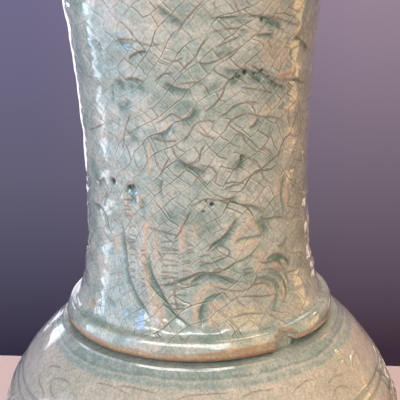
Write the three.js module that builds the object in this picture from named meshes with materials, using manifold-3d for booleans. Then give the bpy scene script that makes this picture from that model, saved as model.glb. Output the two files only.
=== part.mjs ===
// Celadon vase with a trumpet mouth, thrown in sections and luted together. Millimetres, +Z up.
// The origin is the centre of the foot's underside. The front of the vase faces -Y.
import * as THREE from "three";
import { mergeVertices } from "three/addons/utils/BufferGeometryUtils.js";
import Module from "manifold-3d";

// Heights of the thrown sections, from the foot upward
const FOOT_HEIGHT = 36;
const LOWER_BODY_HEIGHT = 121;
const SHOULDER_HEIGHT = 73;
const NECK_HEIGHT = 140;
const MOUTH_HEIGHT = 80;

// Outer radii
const FOOT_RADIUS = 69;
const WAIST_RADIUS = 61;
const BELLY_RADIUS = 105;
const SHOULDER_EDGE_RADIUS = 69;
const NECK_FOOT_RADIUS = 61.4;
const NECK_WAIST_RADIUS = 53.9;
const NECK_TOP_RADIUS = 57.9;
const MOUTH_RADIUS = 102;

// How the outline runs between those radii
const SHOULDER_POWER = 2.38;
const NECK_FOOT_POWER = 3;
const NECK_TOP_POWER = 2;
const MOUTH_POWER = 4;
const NECK_WAIST_HEIGHT = 70;

// Walls
const FOOT_WALL = 9;
const BODY_WALL = 7.5;
const NECK_WALL = 7;
const MOUTH_WALL = 5.5;
const RIM_CHAMFER = 2;
const LIP_ROUND = 2.4;

// Luted joints: a spigot on the upper section drops inside the section below
const SPIGOT_DEPTH = 8;
const SLIP_GAP = 0.3;
const NECK_SPIGOT_RADIUS = 50.5;
const SHOULDER_MOUTH_BEVEL = 4;

// Collar strip round the foot of the neck, in a rebate of the neck, with an arched bite out of its lip
const COLLAR_HEIGHT = 11;
const COLLAR_RADIUS = 67;
const COLLAR_LIP_HEIGHT = 2.8;
const COLLAR_SEAT_RADIUS = 57;
const COLLAR_FOOT_RADIUS = 63;
const COLLAR_CREST_RADIUS = 64.5;
const COLLAR_CREST_HEIGHT = 7.4;
const COLLAR_CREASE_DEPTH = 1.6;
const COLLAR_CREASE_RADIUS = 62.3;
const NOTCH_ANGLE = 35.5;
const NOTCH_WIDTH = 12.5;
const NOTCH_HEIGHT = 9.2;
const NOTCH_FLOOR_RADIUS = 61.6;

// Saucer that closes the bottom, dropped in from above on to the ledge of the foot
const LEDGE_HEIGHT = 22;
const LEDGE_THICKNESS = 7;
const LEDGE_BORE_RADIUS = 45;
const SAUCER_THICKNESS = 5;
const SAUCER_DROP = 9;
const SAUCER_RIM_WIDTH = 6.5;
const SAUCER_POWER = 4;
const WELL_RIM_HEIGHT = 4;

// Fineness of the solids
const TURN_STEPS = 48;
const FOOT_STEPS = 4;
const BODY_STEPS = 10;
const SHOULDER_STEPS = 11;
const NECK_LOW_STEPS = 7;
const NECK_HIGH_STEPS = 3;
const MOUTH_STEPS = 12;
const SAUCER_STEPS = 4;
const NOTCH_STEPS = 12;

// Levels of the joints
const WAIST_LEVEL = FOOT_HEIGHT;
const BELLY_LEVEL = WAIST_LEVEL + LOWER_BODY_HEIGHT;
const SEAT_LEVEL = BELLY_LEVEL + SHOULDER_HEIGHT;
const COLLAR_TOP_LEVEL = SEAT_LEVEL + COLLAR_HEIGHT;
const NECK_WAIST_LEVEL = SEAT_LEVEL + NECK_WAIST_HEIGHT;
const NECK_TOP_LEVEL = SEAT_LEVEL + NECK_HEIGHT;
const MOUTH_LEVEL = NECK_TOP_LEVEL + MOUTH_HEIGHT;

const wasm = await Module();
wasm.setup();

// Outer radius of each section at a level
const footOuter = (z) => {
  const swell = 0.5 + 0.5 * Math.cos((Math.PI * z) / FOOT_HEIGHT);
  return WAIST_RADIUS + (FOOT_RADIUS - WAIST_RADIUS) * swell;
};

const bodyOuter = (z) => {
  const rise = 0.5 - 0.5 * Math.cos((Math.PI * (z - WAIST_LEVEL)) / LOWER_BODY_HEIGHT);
  return WAIST_RADIUS + (BELLY_RADIUS - WAIST_RADIUS) * rise;
};

const shoulderOuter = (z) => {
  const rise = Math.max(0, z - BELLY_LEVEL) / SHOULDER_HEIGHT;
  return BELLY_RADIUS - (BELLY_RADIUS - SHOULDER_EDGE_RADIUS) * rise ** SHOULDER_POWER;
};

const neckOuter = (z) => {
  if (z < NECK_WAIST_LEVEL) {
    const fall = (NECK_WAIST_LEVEL - z) / (NECK_WAIST_LEVEL - COLLAR_TOP_LEVEL);
    return NECK_WAIST_RADIUS + (NECK_FOOT_RADIUS - NECK_WAIST_RADIUS) * fall ** NECK_FOOT_POWER;
  }
  const rise = (z - NECK_WAIST_LEVEL) / (NECK_TOP_LEVEL - NECK_WAIST_LEVEL);
  return NECK_WAIST_RADIUS + (NECK_TOP_RADIUS - NECK_WAIST_RADIUS) * rise ** NECK_TOP_POWER;
};

// The mouth leaves the neck at the neck's own slope and reaches its full radius where the lip begins
const mouthOuter = (z) => {
  const height = MOUTH_HEIGHT - LIP_ROUND;
  const rise = (z - NECK_TOP_LEVEL) / height;
  const neckSlope = ((NECK_TOP_RADIUS - NECK_WAIST_RADIUS) * NECK_TOP_POWER) / (NECK_TOP_LEVEL - NECK_WAIST_LEVEL);
  const straight = neckSlope * height;
  const flare = MOUTH_RADIUS - NECK_TOP_RADIUS - straight;
  return NECK_TOP_RADIUS + straight * rise + flare * rise ** MOUTH_POWER;
};

// Inner radius behind an outline, for a wall measured square to the surface
const innerOf = (outer, wall) => (z) => {
  const step = 0.01;
  const slope = (outer(z + step) - outer(z - step)) / (2 * step);
  return outer(z) - wall * Math.hypot(1, slope);
};

// Points [radius, level] along an outline from one level to another
const along = (outline, from, to, steps) =>
  Array.from({ length: steps + 1 }, (_, i) => {
    const z = from + ((to - from) * i) / steps;
    return [outline(z), z];
  });

// A ring or disc turned from its section, which runs anticlockwise with the outer side first
function turned(section) {
  const points = section.map(([radius, level]) => new THREE.Vector2(radius, level));
  if (section[0][0] > 0) points.push(points[0].clone());
  return new THREE.LatheGeometry(points, TURN_STEPS).rotateX(Math.PI / 2);
}

function solidOf(geometry) {
  const bare = geometry.clone();
  bare.deleteAttribute("normal");
  bare.deleteAttribute("uv");
  const merged = mergeVertices(bare, 1e-4);
  const vertProperties = new Float32Array(merged.attributes.position.array);
  const triVerts = new Uint32Array(merged.index.array);
  return new wasm.Manifold(new wasm.Mesh({ numProp: 3, vertProperties, triVerts }));
}

function geometryOf(solid) {
  const mesh = solid.getMesh();
  const geometry = new THREE.BufferGeometry();
  geometry.setAttribute("position", new THREE.BufferAttribute(mesh.vertProperties, 3));
  geometry.setIndex(new THREE.BufferAttribute(mesh.triVerts, 1));
  geometry.computeVertexNormals();
  return geometry;
}

const celadon = new THREE.MeshStandardMaterial({ color: 0xa9b8a4, roughness: 0.18, metalness: 0 });
const bareClay = new THREE.MeshStandardMaterial({ color: 0xa5633f, roughness: 0.85, metalness: 0 });
const thinGlaze = new THREE.MeshStandardMaterial({ color: 0xb08d72, roughness: 0.25, metalness: 0 });

// Middle of the wall at a joint, where a spigot and the wall round it meet
const jointRadius = (outer, wall, level) => outer(level) - wall / 2;

const ledgeTop = LEDGE_HEIGHT + LEDGE_THICKNESS;
const saucerRimRadius = LEDGE_BORE_RADIUS + SAUCER_RIM_WIDTH;

function footRing() {
  const wellRadius = WAIST_RADIUS - FOOT_WALL;
  const spigotRadius = jointRadius(bodyOuter, FOOT_WALL, WAIST_LEVEL);
  return turned([
    [footOuter(0) - FOOT_WALL, 0],
    [footOuter(0) - RIM_CHAMFER, 0],
    [footOuter(RIM_CHAMFER), RIM_CHAMFER],
    ...along(footOuter, RIM_CHAMFER, WAIST_LEVEL, FOOT_STEPS).slice(1),
    [spigotRadius + SLIP_GAP / 2, WAIST_LEVEL],
    [spigotRadius + SLIP_GAP / 2, ledgeTop],
    [LEDGE_BORE_RADIUS, ledgeTop],
    [LEDGE_BORE_RADIUS, LEDGE_HEIGHT],
    [wellRadius, LEDGE_HEIGHT],
    [footOuter(0) - FOOT_WALL, WELL_RIM_HEIGHT],
  ]);
}

// A dished disc whose flat rim lies on the ledge of the foot
function baseSaucer() {
  const bowlRadius = LEDGE_BORE_RADIUS - SLIP_GAP;
  const underside = (radius) => ledgeTop - SAUCER_DROP * (1 - (radius / bowlRadius) ** SAUCER_POWER);
  const below = Array.from({ length: SAUCER_STEPS + 1 }, (_, i) => {
    const radius = (bowlRadius * i) / SAUCER_STEPS;
    return [radius, underside(radius)];
  });
  const above = below.map(([radius, level]) => [radius, level + SAUCER_THICKNESS]).reverse();
  const rim = [
    [saucerRimRadius, ledgeTop],
    [saucerRimRadius, ledgeTop + SAUCER_THICKNESS],
  ];
  return turned([...below, ...rim, ...above]);
}

// Its spigot stands on the ledge of the foot, round the saucer's rim
function lowerBody() {
  const inner = innerOf(bodyOuter, BODY_WALL);
  const below = jointRadius(bodyOuter, FOOT_WALL, WAIST_LEVEL) - SLIP_GAP / 2;
  const above = jointRadius(bodyOuter, BODY_WALL, BELLY_LEVEL);
  const innerFrom = BELLY_LEVEL - SPIGOT_DEPTH;
  return turned([
    [saucerRimRadius + SLIP_GAP, ledgeTop],
    [below, ledgeTop],
    [below, WAIST_LEVEL],
    ...along(bodyOuter, WAIST_LEVEL, BELLY_LEVEL, BODY_STEPS),
    [above + SLIP_GAP / 2, BELLY_LEVEL],
    [above + SLIP_GAP / 2, innerFrom],
    ...along(inner, innerFrom, WAIST_LEVEL + SPIGOT_DEPTH, BODY_STEPS),
    [saucerRimRadius + SLIP_GAP, ledgeTop + SAUCER_THICKNESS],
  ]);
}

function shoulder() {
  const inner = innerOf(shoulderOuter, BODY_WALL);
  const spigot = jointRadius(bodyOuter, BODY_WALL, BELLY_LEVEL) - SLIP_GAP / 2;
  const spigotLevel = BELLY_LEVEL - SPIGOT_DEPTH;
  const innerTop = SEAT_LEVEL - SPIGOT_DEPTH - SHOULDER_MOUTH_BEVEL;
  return turned([
    [innerOf(bodyOuter, BODY_WALL)(spigotLevel), spigotLevel],
    [spigot, spigotLevel],
    [spigot, BELLY_LEVEL],
    ...along(shoulderOuter, BELLY_LEVEL, SEAT_LEVEL, SHOULDER_STEPS),
    [NECK_SPIGOT_RADIUS, SEAT_LEVEL],
    [NECK_SPIGOT_RADIUS, SEAT_LEVEL - SPIGOT_DEPTH],
    ...along(inner, innerTop, BELLY_LEVEL, SHOULDER_STEPS - 2),
  ]);
}

function neck() {
  const bore = NECK_WAIST_RADIUS - NECK_WALL;
  const innerHigh = innerOf(neckOuter, NECK_WALL);
  const above = jointRadius(neckOuter, NECK_WALL, NECK_TOP_LEVEL) + SLIP_GAP / 2;
  const innerFrom = NECK_TOP_LEVEL - SPIGOT_DEPTH;
  return turned([
    [bore, SEAT_LEVEL - SPIGOT_DEPTH],
    [NECK_SPIGOT_RADIUS - SLIP_GAP, SEAT_LEVEL - SPIGOT_DEPTH],
    [NECK_SPIGOT_RADIUS - SLIP_GAP, SEAT_LEVEL],
    [COLLAR_SEAT_RADIUS, SEAT_LEVEL],
    [COLLAR_SEAT_RADIUS, COLLAR_TOP_LEVEL],
    ...along(neckOuter, COLLAR_TOP_LEVEL, NECK_WAIST_LEVEL, NECK_LOW_STEPS),
    ...along(neckOuter, NECK_WAIST_LEVEL, NECK_TOP_LEVEL, NECK_HIGH_STEPS).slice(1),
    [above, NECK_TOP_LEVEL],
    [above, innerFrom],
    ...along(innerHigh, innerFrom, NECK_WAIST_LEVEL, NECK_HIGH_STEPS),
  ]);
}

function mouthTrumpet() {
  const inner = innerOf(mouthOuter, MOUTH_WALL);
  const spigot = jointRadius(neckOuter, NECK_WALL, NECK_TOP_LEVEL) - SLIP_GAP / 2;
  const spigotLevel = NECK_TOP_LEVEL - SPIGOT_DEPTH;
  const lipLevel = MOUTH_LEVEL - LIP_ROUND;
  const outside = along(mouthOuter, NECK_TOP_LEVEL, lipLevel, MOUTH_STEPS);
  const inside = along(inner, lipLevel, NECK_TOP_LEVEL, MOUTH_STEPS);
  const lipOuter = mouthOuter(lipLevel);
  return turned([
    [innerOf(neckOuter, NECK_WALL)(spigotLevel), spigotLevel],
    [spigot, spigotLevel],
    [spigot, NECK_TOP_LEVEL],
    ...outside,
    [lipOuter, lipLevel + LIP_ROUND / 2],
    [lipOuter - LIP_ROUND, MOUTH_LEVEL],
    [inside[0][0] + LIP_ROUND, MOUTH_LEVEL],
    ...inside,
  ]);
}

// The bite out of the collar, an arch that stands on the shoulder and is open outward
function notchArch() {
  const margin = 1;
  const half = NOTCH_WIDTH / 2;
  const shape = new THREE.Shape();
  shape.moveTo(-half, SEAT_LEVEL - margin);
  shape.lineTo(half, SEAT_LEVEL - margin);
  shape.absellipse(0, SEAT_LEVEL, half, NOTCH_HEIGHT, 0, Math.PI);
  const depth = COLLAR_RADIUS - NOTCH_FLOOR_RADIUS + margin;
  return new THREE.ExtrudeGeometry(shape, { depth, bevelEnabled: false, curveSegments: NOTCH_STEPS })
    .rotateX(Math.PI / 2)
    .translate(0, -NOTCH_FLOOR_RADIUS, 0)
    .rotateZ(THREE.MathUtils.degToRad(NOTCH_ANGLE));
}

// Undercut below its lip, rounded at the crest, with a crease where it meets the neck
function collarStrip() {
  const seat = COLLAR_SEAT_RADIUS + SLIP_GAP;
  const ring = turned([
    [seat, SEAT_LEVEL],
    [COLLAR_FOOT_RADIUS, SEAT_LEVEL],
    [COLLAR_RADIUS, SEAT_LEVEL + COLLAR_LIP_HEIGHT],
    [COLLAR_CREST_RADIUS, SEAT_LEVEL + COLLAR_CREST_HEIGHT],
    [COLLAR_CREASE_RADIUS, COLLAR_TOP_LEVEL - COLLAR_CREASE_DEPTH],
    [NECK_FOOT_RADIUS, COLLAR_TOP_LEVEL],
    [seat, COLLAR_TOP_LEVEL],
  ]);
  return geometryOf(solidOf(ring).subtract(solidOf(notchArch())));
}

const vase = new THREE.Group();

function add(name, geometry, material) {
  const mesh = new THREE.Mesh(geometry, material);
  mesh.name = name;
  vase.add(mesh);
}

add("foot_ring", footRing(), bareClay);
add("base_saucer", baseSaucer(), celadon);
add("lower_body", lowerBody(), celadon);
add("shoulder", shoulder(), celadon);
add("neck", neck(), celadon);
add("collar_strip", collarStrip(), thinGlaze);
add("mouth_trumpet", mouthTrumpet(), celadon);

export default vase;
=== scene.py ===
"""Carved celadon vase: the glazed skin of each thrown section, its carving, and the studio round it."""
import math

import bpy
import numpy as np
from mathutils import Euler, Matrix, Vector


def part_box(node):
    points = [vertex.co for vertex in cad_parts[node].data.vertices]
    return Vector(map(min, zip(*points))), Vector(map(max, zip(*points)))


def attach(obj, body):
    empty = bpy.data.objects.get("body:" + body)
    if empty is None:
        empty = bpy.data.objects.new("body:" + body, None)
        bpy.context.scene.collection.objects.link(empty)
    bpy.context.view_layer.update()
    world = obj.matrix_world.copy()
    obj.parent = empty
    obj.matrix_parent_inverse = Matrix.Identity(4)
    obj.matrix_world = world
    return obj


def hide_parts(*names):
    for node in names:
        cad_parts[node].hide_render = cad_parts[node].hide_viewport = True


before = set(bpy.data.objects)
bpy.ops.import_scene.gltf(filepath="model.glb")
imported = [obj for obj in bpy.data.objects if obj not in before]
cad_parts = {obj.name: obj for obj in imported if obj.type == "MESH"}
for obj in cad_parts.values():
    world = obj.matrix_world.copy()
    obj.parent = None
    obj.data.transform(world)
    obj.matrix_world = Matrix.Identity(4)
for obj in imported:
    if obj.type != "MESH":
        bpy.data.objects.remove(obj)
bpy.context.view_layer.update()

bl_info = {
    "name": "Carved celadon vase",
    "version": (1, 0, 0),
    "blender": (4, 5, 0),
    "location": "3D View > Sidebar > Vase",
    "description": "Builds the glazed and carved skin of a trumpet-mouth vase round its packed frame",
    "category": "Add Mesh",
}

MM = 0.001


def level(node):
    """Highest level of a frame node, in millimetres."""
    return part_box(node)[1][2] / MM


def reach(node):
    """Outer radius of a frame node, in millimetres."""
    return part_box(node)[1][0] / MM


WAIST = level("foot_ring")
BELLY = level("lower_body")
SEAT = level("shoulder")
COLLAR_TOP = level("collar_strip")
NECK_TOP = level("neck")
MOUTH = level("mouth_trumpet")
FOOT_R = reach("foot_ring")
BELLY_R = reach("lower_body")
COLLAR_R = reach("collar_strip")
MOUTH_R = reach("mouth_trumpet")

# Level that the carving's own heights are measured from, just above the seat of the neck
DATUM = SEAT + 2.0

# Joints between the sections, in mm: depth of the spigots, gap for the slip (in all, and on each side of the
# joint's middle), the opening that takes the neck's spigot, and the rebate that takes the collar
SPIGOT = 8.0
GAP = 0.3
HALF_GAP = GAP / 2
OPENING_R = 50.5
REBATE_R = 57.0

# Ledge inside the foot: levels of its top and underside, its bore, the foot's inner radius under it, and the
# inner radius of the body that stands on it, with the level where the body begins to widen
LEDGE_TOP = 29.0
LEDGE_UNDER = 22.0
LEDGE_BORE_R = 45.0
LEDGE_ROOT_R = 52.0
BODY_FOOT_R = 51.8
BODY_FOOT_TOP = 34.0

# Rim that the vase stands on: its bevel, and the level up to which the clay is bare
RIM_BEVEL = 2.0
CLAY_TOP = 4.0

# Powers of the curves, and the small step out just below the seat of the neck
SHOULDER_POWER = 2.38
NECK_FOOT_POWER = 3
NECK_TOP_POWER = 2
MOUTH_POWER = 4
STEP_OUT = 0.64
STEP_HEIGHT = 1.1

# Bite out of the collar's lip: its middle in degrees, half its width, its height and its floor's radius in mm
BITE_TURN = 35.0
BITE_HALF = 6.2
BITE_HEIGHT = 9.2
BITE_FLOOR_R = 62.9

# Where the lip starts to stand higher, right of the bite, in degrees
LIFT_TURN = 35.5

# Share of the depths in the table that the knife cuts are given
CUT_SHARE = 0.62

# Columns round each section, and rows up its outside above any bevel
FOOT_GRID = (360, 40)
BODY_GRID = (560, 140)
SHOULDER_GRID = (560, 150)
NECK_GRID = (380, 246)
COLLAR_GRID = (700, 60)
MOUTH_GRID = (520, 130)

# Turns that a metre round the neck's wall takes, which keeps slanting cracks as wide as the others
TURNS_TO_A_METRE = 2.8


def millimetres(name, description, default):
    """A size of the vase, in millimetres."""
    return bpy.props.FloatProperty(name=name, description=f"{description}, in mm", default=default, min=0.5)


def tint(name, description, default):
    """A colour of the glaze or the clay."""
    return bpy.props.FloatVectorProperty(
        name=name, description=description, subtype="COLOR", size=3, min=0.0, max=1.0, default=default)


def metres(name, description, default):
    """A distance in the studio."""
    return bpy.props.FloatProperty(name=name, description=description, default=default, unit="LENGTH")


def tilt(name, description, degrees):
    """A turn of the camera, given here in degrees."""
    return bpy.props.FloatProperty(
        name=name, description=description, default=math.radians(degrees), subtype="ANGLE")


class FormSettings(bpy.types.PropertyGroup):
    """Outline of the vase between the levels and radii that the frame gives."""

    waist_radius: millimetres("Waist radius", "Radius above the foot", 61.0)
    shoulder_radius: millimetres("Shoulder edge radius", "Radius where the neck sits", 69.0)
    neck_foot_radius: millimetres("Neck foot radius", "Radius of the neck above the collar", 61.4)
    neck_waist_radius: millimetres("Neck waist radius", "Least radius of the neck", 53.9)
    neck_top_radius: millimetres("Neck top radius", "Radius where the mouth begins", 57.9)
    neck_waist_height: millimetres("Neck waist height", "Height of the least radius above the seat", 70.0)
    lip_round: millimetres("Lip rounding", "Height of the rounded lip", 2.4)
    body_wall: millimetres("Body wall", "Wall of the body", 7.5)
    neck_wall: millimetres("Neck wall", "Wall of the neck", 7.0)
    mouth_wall: millimetres("Mouth wall", "Wall of the mouth", 5.5)
    foot_wall: millimetres("Foot wall", "Wall of the foot", 9.0)


class GlazeSettings(bpy.types.PropertyGroup):
    """Colours and gloss of the celadon glaze."""

    body: tint("Glaze", "Glaze of ordinary depth", (0.375, 0.44, 0.388))
    deep: tint("Pooled glaze", "Deep glaze in the carving", (0.08, 0.178, 0.145))
    # The pale glaze's colour also serves for the painted highlights beside the cracks
    pale: tint("Pale glaze", "Milky patches", (0.64, 0.605, 0.51))
    thin: tint("Thin glaze", "Glaze on raised edges", (0.62, 0.455, 0.325))
    # The edge colour is also painted as shade along the foot of the collar's lip
    lip: tint("Edge glaze", "Glaze run off the sharpest edges", (0.25, 0.13, 0.07))
    crack: tint("Crackle", "Stain in the crackle", (0.05, 0.047, 0.027))
    pit: tint("Pinhole", "Inside of a burst bubble", (0.012, 0.01, 0.008))
    clay: tint("Bare clay", "Unglazed foot rim", (0.36, 0.135, 0.055))
    roughness: bpy.props.FloatProperty(
        name="Roughness", description="Roughness of the fired glaze", default=0.12, min=0.0, max=1.0)


class StudioSettings(bpy.types.PropertyGroup):
    """Camera, table and wall."""

    lens: bpy.props.FloatProperty(name="Lens", description="Focal length in mm", default=74.97)
    camera_back: metres("Camera distance", "Distance from the vase's axis", 0.3976)
    camera_height: metres("Camera height", "Height above the table", 0.4001)
    pitch: tilt("Pitch", "How far the camera looks down", 15.97)
    roll: tilt("Roll", "Tilt of the camera about its own axis", -1.4)
    yaw: tilt("Yaw", "Turn of the camera to the right of the axis", -0.186)
    table_edge: metres("Table edge", "Far edge of the table, behind the vase", 0.391)
    table_skew: bpy.props.FloatProperty(
        name="Table skew", description="How far the table's far edge comes forward per metre to the right",
        default=0.115)
    wall_back: metres("Wall", "Distance of the wall behind the vase", 2.2)


def form():
    return bpy.context.scene.vase_form


def glaze():
    return bpy.context.scene.vase_glaze


def studio():
    return bpy.context.scene.vase_studio


# Outlines: outer radius in mm at a level in mm

def foot_outline(z):
    swell = 0.5 + 0.5 * np.cos(np.pi * z / WAIST)
    return form().waist_radius + (FOOT_R - form().waist_radius) * swell


def body_outline(z):
    rise = 0.5 - 0.5 * np.cos(np.pi * (z - WAIST) / (BELLY - WAIST))
    return form().waist_radius + (BELLY_R - form().waist_radius) * rise


def shoulder_outline(z):
    rise = np.clip((z - BELLY) / (SEAT - BELLY), 0, 1)
    step = STEP_OUT * np.clip((z - SEAT + STEP_HEIGHT) / STEP_HEIGHT, 0, 1)
    return BELLY_R - (BELLY_R - form().shoulder_radius) * rise ** SHOULDER_POWER + step


def neck_outline(z):
    low, waist, high = form().neck_foot_radius, form().neck_waist_radius, form().neck_top_radius
    waist_level = SEAT + form().neck_waist_height
    fall = np.clip((waist_level - z) / (waist_level - COLLAR_TOP), 0, None)
    rise = np.clip((z - waist_level) / (NECK_TOP - waist_level), 0, None)
    return waist + (low - waist) * fall ** NECK_FOOT_POWER + (high - waist) * rise ** NECK_TOP_POWER


def mouth_outline(z):
    low = form().neck_top_radius
    height = MOUTH - NECK_TOP - form().lip_round
    rise = np.clip((z - NECK_TOP) / height, 0, 1)
    slope = 2 * (low - form().neck_waist_radius) / (NECK_TOP - SEAT - form().neck_waist_height)
    straight = slope * height
    return low + straight * rise + (MOUTH_R - low - straight) * rise ** MOUTH_POWER


def collar_outline(z):
    """Collar from the undercut, over the rounded lip and the crest, to the crease at the neck."""
    points = (
        (63.2, 0.0), (64.8, 0.8), (66.2, 1.4), (66.85, 2.2), (67.0, 3.2), (66.95, 4.4), (66.75, 5.6),
        (66.45, 6.8), (66.1, 7.8), (65.75, 8.6), (65.2, 9.55), (64.75, 10.05), (64.0, 10.5), (63.2, 10.75),
        (62.4, 11.0),
    )
    curve = smooth_path(points, 0.15, 1.0)
    return np.interp(z - SEAT, curve[:, 1], curve[:, 0])


def inner_side(outline, wall, z):
    """Radius inside an outline, for a wall measured square to the surface."""
    step = 0.01
    slope = (outline(z + step) - outline(z - step)) / (2 * step)
    return outline(z) - wall * np.hypot(1, slope)


def inner_rows(outline, wall, start, stop, count):
    """Evenly spaced rows of the inner side, from one level to another."""
    levels = np.linspace(start, stop, count)
    return np.column_stack([inner_side(outline, wall, levels), levels])


# Paths on the surface are in degrees from the front and mm above the datum

def smooth_path(points, spacing=0.8, scale=0.95):
    """A smooth curve through the given points, as points close together."""
    p = np.array(points, float)
    if len(p) < 3:
        count = max(2, int(np.hypot(*(p[-1] - p[0])) / spacing) + 1)
        return np.linspace(p[0], p[-1], count)
    padded = np.vstack([2 * p[0] - p[1], p, 2 * p[-1] - p[-2]])
    pieces = []
    for a, b, c, d in zip(padded, padded[1:], padded[2:], padded[3:]):
        run = math.hypot((c[0] - b[0]) * scale, c[1] - b[1])
        t = np.linspace(0, 1, max(3, int(run / spacing) + 1), endpoint=False)[:, None]
        pieces.append(0.5 * (2 * b + (c - a) * t + (2 * a - 5 * b + 4 * c - d) * t ** 2
                             + (3 * b - a - 3 * c + d) * t ** 3))
    return np.vstack(pieces + [p[-1:]])


def fade_out(along, taper):
    """Strength along a stroke, which fades towards both its ends."""
    return np.clip(np.minimum(along, 1 - along) / taper, 0, 1) ** 0.7


def bell(distance, width):
    """1 where there is no distance, falling away smoothly over the width."""
    return np.exp(-(distance / width) ** 2)


def mark(mask, block, strength):
    """Strengthen a mask where a new stroke is stronger than what is there."""
    mask[block] = np.maximum(mask[block], strength)


# What a path finds on a section that it doesn't reach: an empty block of its grid
NOWHERE = (np.ix_(np.arange(0), np.arange(0)), np.zeros((0, 0)), np.zeros((0, 0)))


class Surface:
    """Relief and glaze masks over the outer rows of one thrown section."""

    def __init__(self, angles, levels, outline):
        self.angles = angles
        self.levels = levels
        self.radii = outline(levels)
        rise = np.hypot(np.diff(levels), np.diff(self.radii))
        self.run = np.concatenate([[0], np.cumsum(rise)])
        grid = (len(levels), len(angles))
        self.height, self.pool, self.thin, self.pit, self.line = np.zeros((5, *grid))

    def degrees(self, length, z):
        """Turn that a length in mm round the wall takes at a height above the datum."""
        return math.degrees(length / float(np.interp(z + DATUM, self.levels, self.radii)))

    def near(self, points, margin):
        """Grid block round a path, with each point's signed distance in mm and its share along the path."""
        path = smooth_path(points)
        z = path[:, 1] + DATUM
        if z.max() < self.levels[0] - margin or z.min() > self.levels[-1] + margin:
            return NOWHERE
        radius = np.interp(z, self.levels, self.radii)
        overshoot = np.clip(z - self.levels[-1], 0, None) - np.clip(self.levels[0] - z, 0, None)
        run = np.interp(z, self.levels, self.run) + overshoot
        turn = np.radians(path[:, 0])
        middle = 0.5 * (turn.min() + turn.max())
        rows = np.nonzero((self.run > run.min() - margin) & (self.run < run.max() + margin))[0]
        offset = (self.angles - middle + np.pi) % (2 * np.pi) - np.pi
        half = 0.5 * (turn.max() - turn.min()) + margin / float(radius.mean())
        columns = np.nonzero(np.abs(offset) < half)[0]
        if not len(rows) or not len(columns):
            return NOWHERE
        x = offset[columns][None, :] * self.radii[rows][:, None]
        y = np.broadcast_to(self.run[rows][:, None], x.shape)
        path_x = (turn - middle) * radius
        start = np.stack([path_x[:-1], run[:-1]], -1)
        step = np.stack([np.diff(path_x), np.diff(run)], -1)
        squared = np.maximum((step ** 2).sum(-1), 1e-9)
        away = np.stack([x, y], -1)[:, :, None, :] - start
        share = np.clip((away * step).sum(-1) / squared, 0, 1)
        gap = away - share[..., None] * step
        distance = np.hypot(gap[..., 0], gap[..., 1])
        best = distance.argmin(-1)
        i, j = np.ogrid[:best.shape[0], :best.shape[1]]
        nearest = gap[i, j, best]
        cross = step[best, 0] * nearest[..., 1] - step[best, 1] * nearest[..., 0]
        signed = np.where(cross < 0, -1.0, 1.0) * distance[i, j, best]
        along = (best + share[i, j, best]) / len(step)
        return np.ix_(rows, columns), signed, along

    def cut(self, points, width, depth, lean, pool, taper=0.18):
        """A slanted knife cut: a shelf of thin glaze along its steep side, and at its foot a dark line,
        partly painted shade.

        A lean of 1 makes it steep on the right of its path and ease back over its width on the left, and a
        lean of -1 the other way round.
        """
        block, signed, along = self.near(points, width * 1.6 + 1)
        side = signed * lean / width
        fade = fade_out(along, taper)
        slope = np.where(side >= 0, np.clip(1 - side, 0, 1) ** 1.15, np.clip(1 + side / 0.3, 0, 1) ** 1.2)
        filled = np.where(side >= 0, np.clip(1.25 - 1.05 * side, 0, 1), np.clip(1 + side / 0.24, 0, 1))
        shelf = bell(side + 0.5, 0.26)
        self.height[block] += depth * fade * (0.3 * shelf - slope)
        mark(self.pool, block, pool * filled * fade)
        mark(self.thin, block, 0.45 * shelf * fade)
        # Dark line at the foot of the steep wall: deepest glaze and stain, and painted shade of the wall
        mark(self.line, block, 0.75 * pool * bell(signed * lean + 0.15, 0.5) * fade)

    def ridge(self, points, width, rise, thin, taper=0.15):
        """A raised band, where the glaze has run thin. With no rise it is only a warm patch."""
        block, signed, along = self.near(points, width + 1)
        profile = np.cos(np.clip(signed / width, -1, 1) * np.pi / 2)
        fade = fade_out(along, taper)
        self.height[block] += rise * profile ** 1.4 * fade
        mark(self.thin, block, thin * profile * fade)

    def score(self, points, width, depth, dark, taper=0.12):
        """A fine line, cut or cracked, that has taken up stain, with a painted highlight along its upper
        side.
        """
        block, signed, along = self.near(points, width * 2.5 + 0.5)
        profile = bell(signed, 0.5 * width)
        fade = fade_out(along, taper)
        self.height[block] -= depth * profile * fade
        mark(self.line, block, dark * profile * fade)
        # The pale rim along the line's upper side is a painted highlight, in the thin glaze's colour
        upper = 1.0 if points[-1][0] >= points[0][0] else -1.0
        rim = bell(signed * upper - 0.95 * width, 0.5 * width)
        mark(self.thin, block, 0.4 * dark * rim * fade)

    def hollow(self, points, width, depth, pool):
        """A soft dip that the glaze has filled."""
        block, signed, _ = self.near(points, width * 2)
        profile = bell(signed, 0.62 * width)
        self.height[block] -= depth * profile
        mark(self.pool, block, pool * profile)

    def pinhole(self, turn, height, size):
        """A burst bubble in the glaze, dark inside."""
        block, signed, _ = self.near([(turn, height), (turn + 0.05, height + 0.05)], size * 3)
        profile = np.exp(-(signed / (0.75 * size)) ** 4)
        self.height[block] -= 0.55 * size * profile
        mark(self.pit, block, profile)


# Carving on the front of the neck, stroke by stroke

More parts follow.
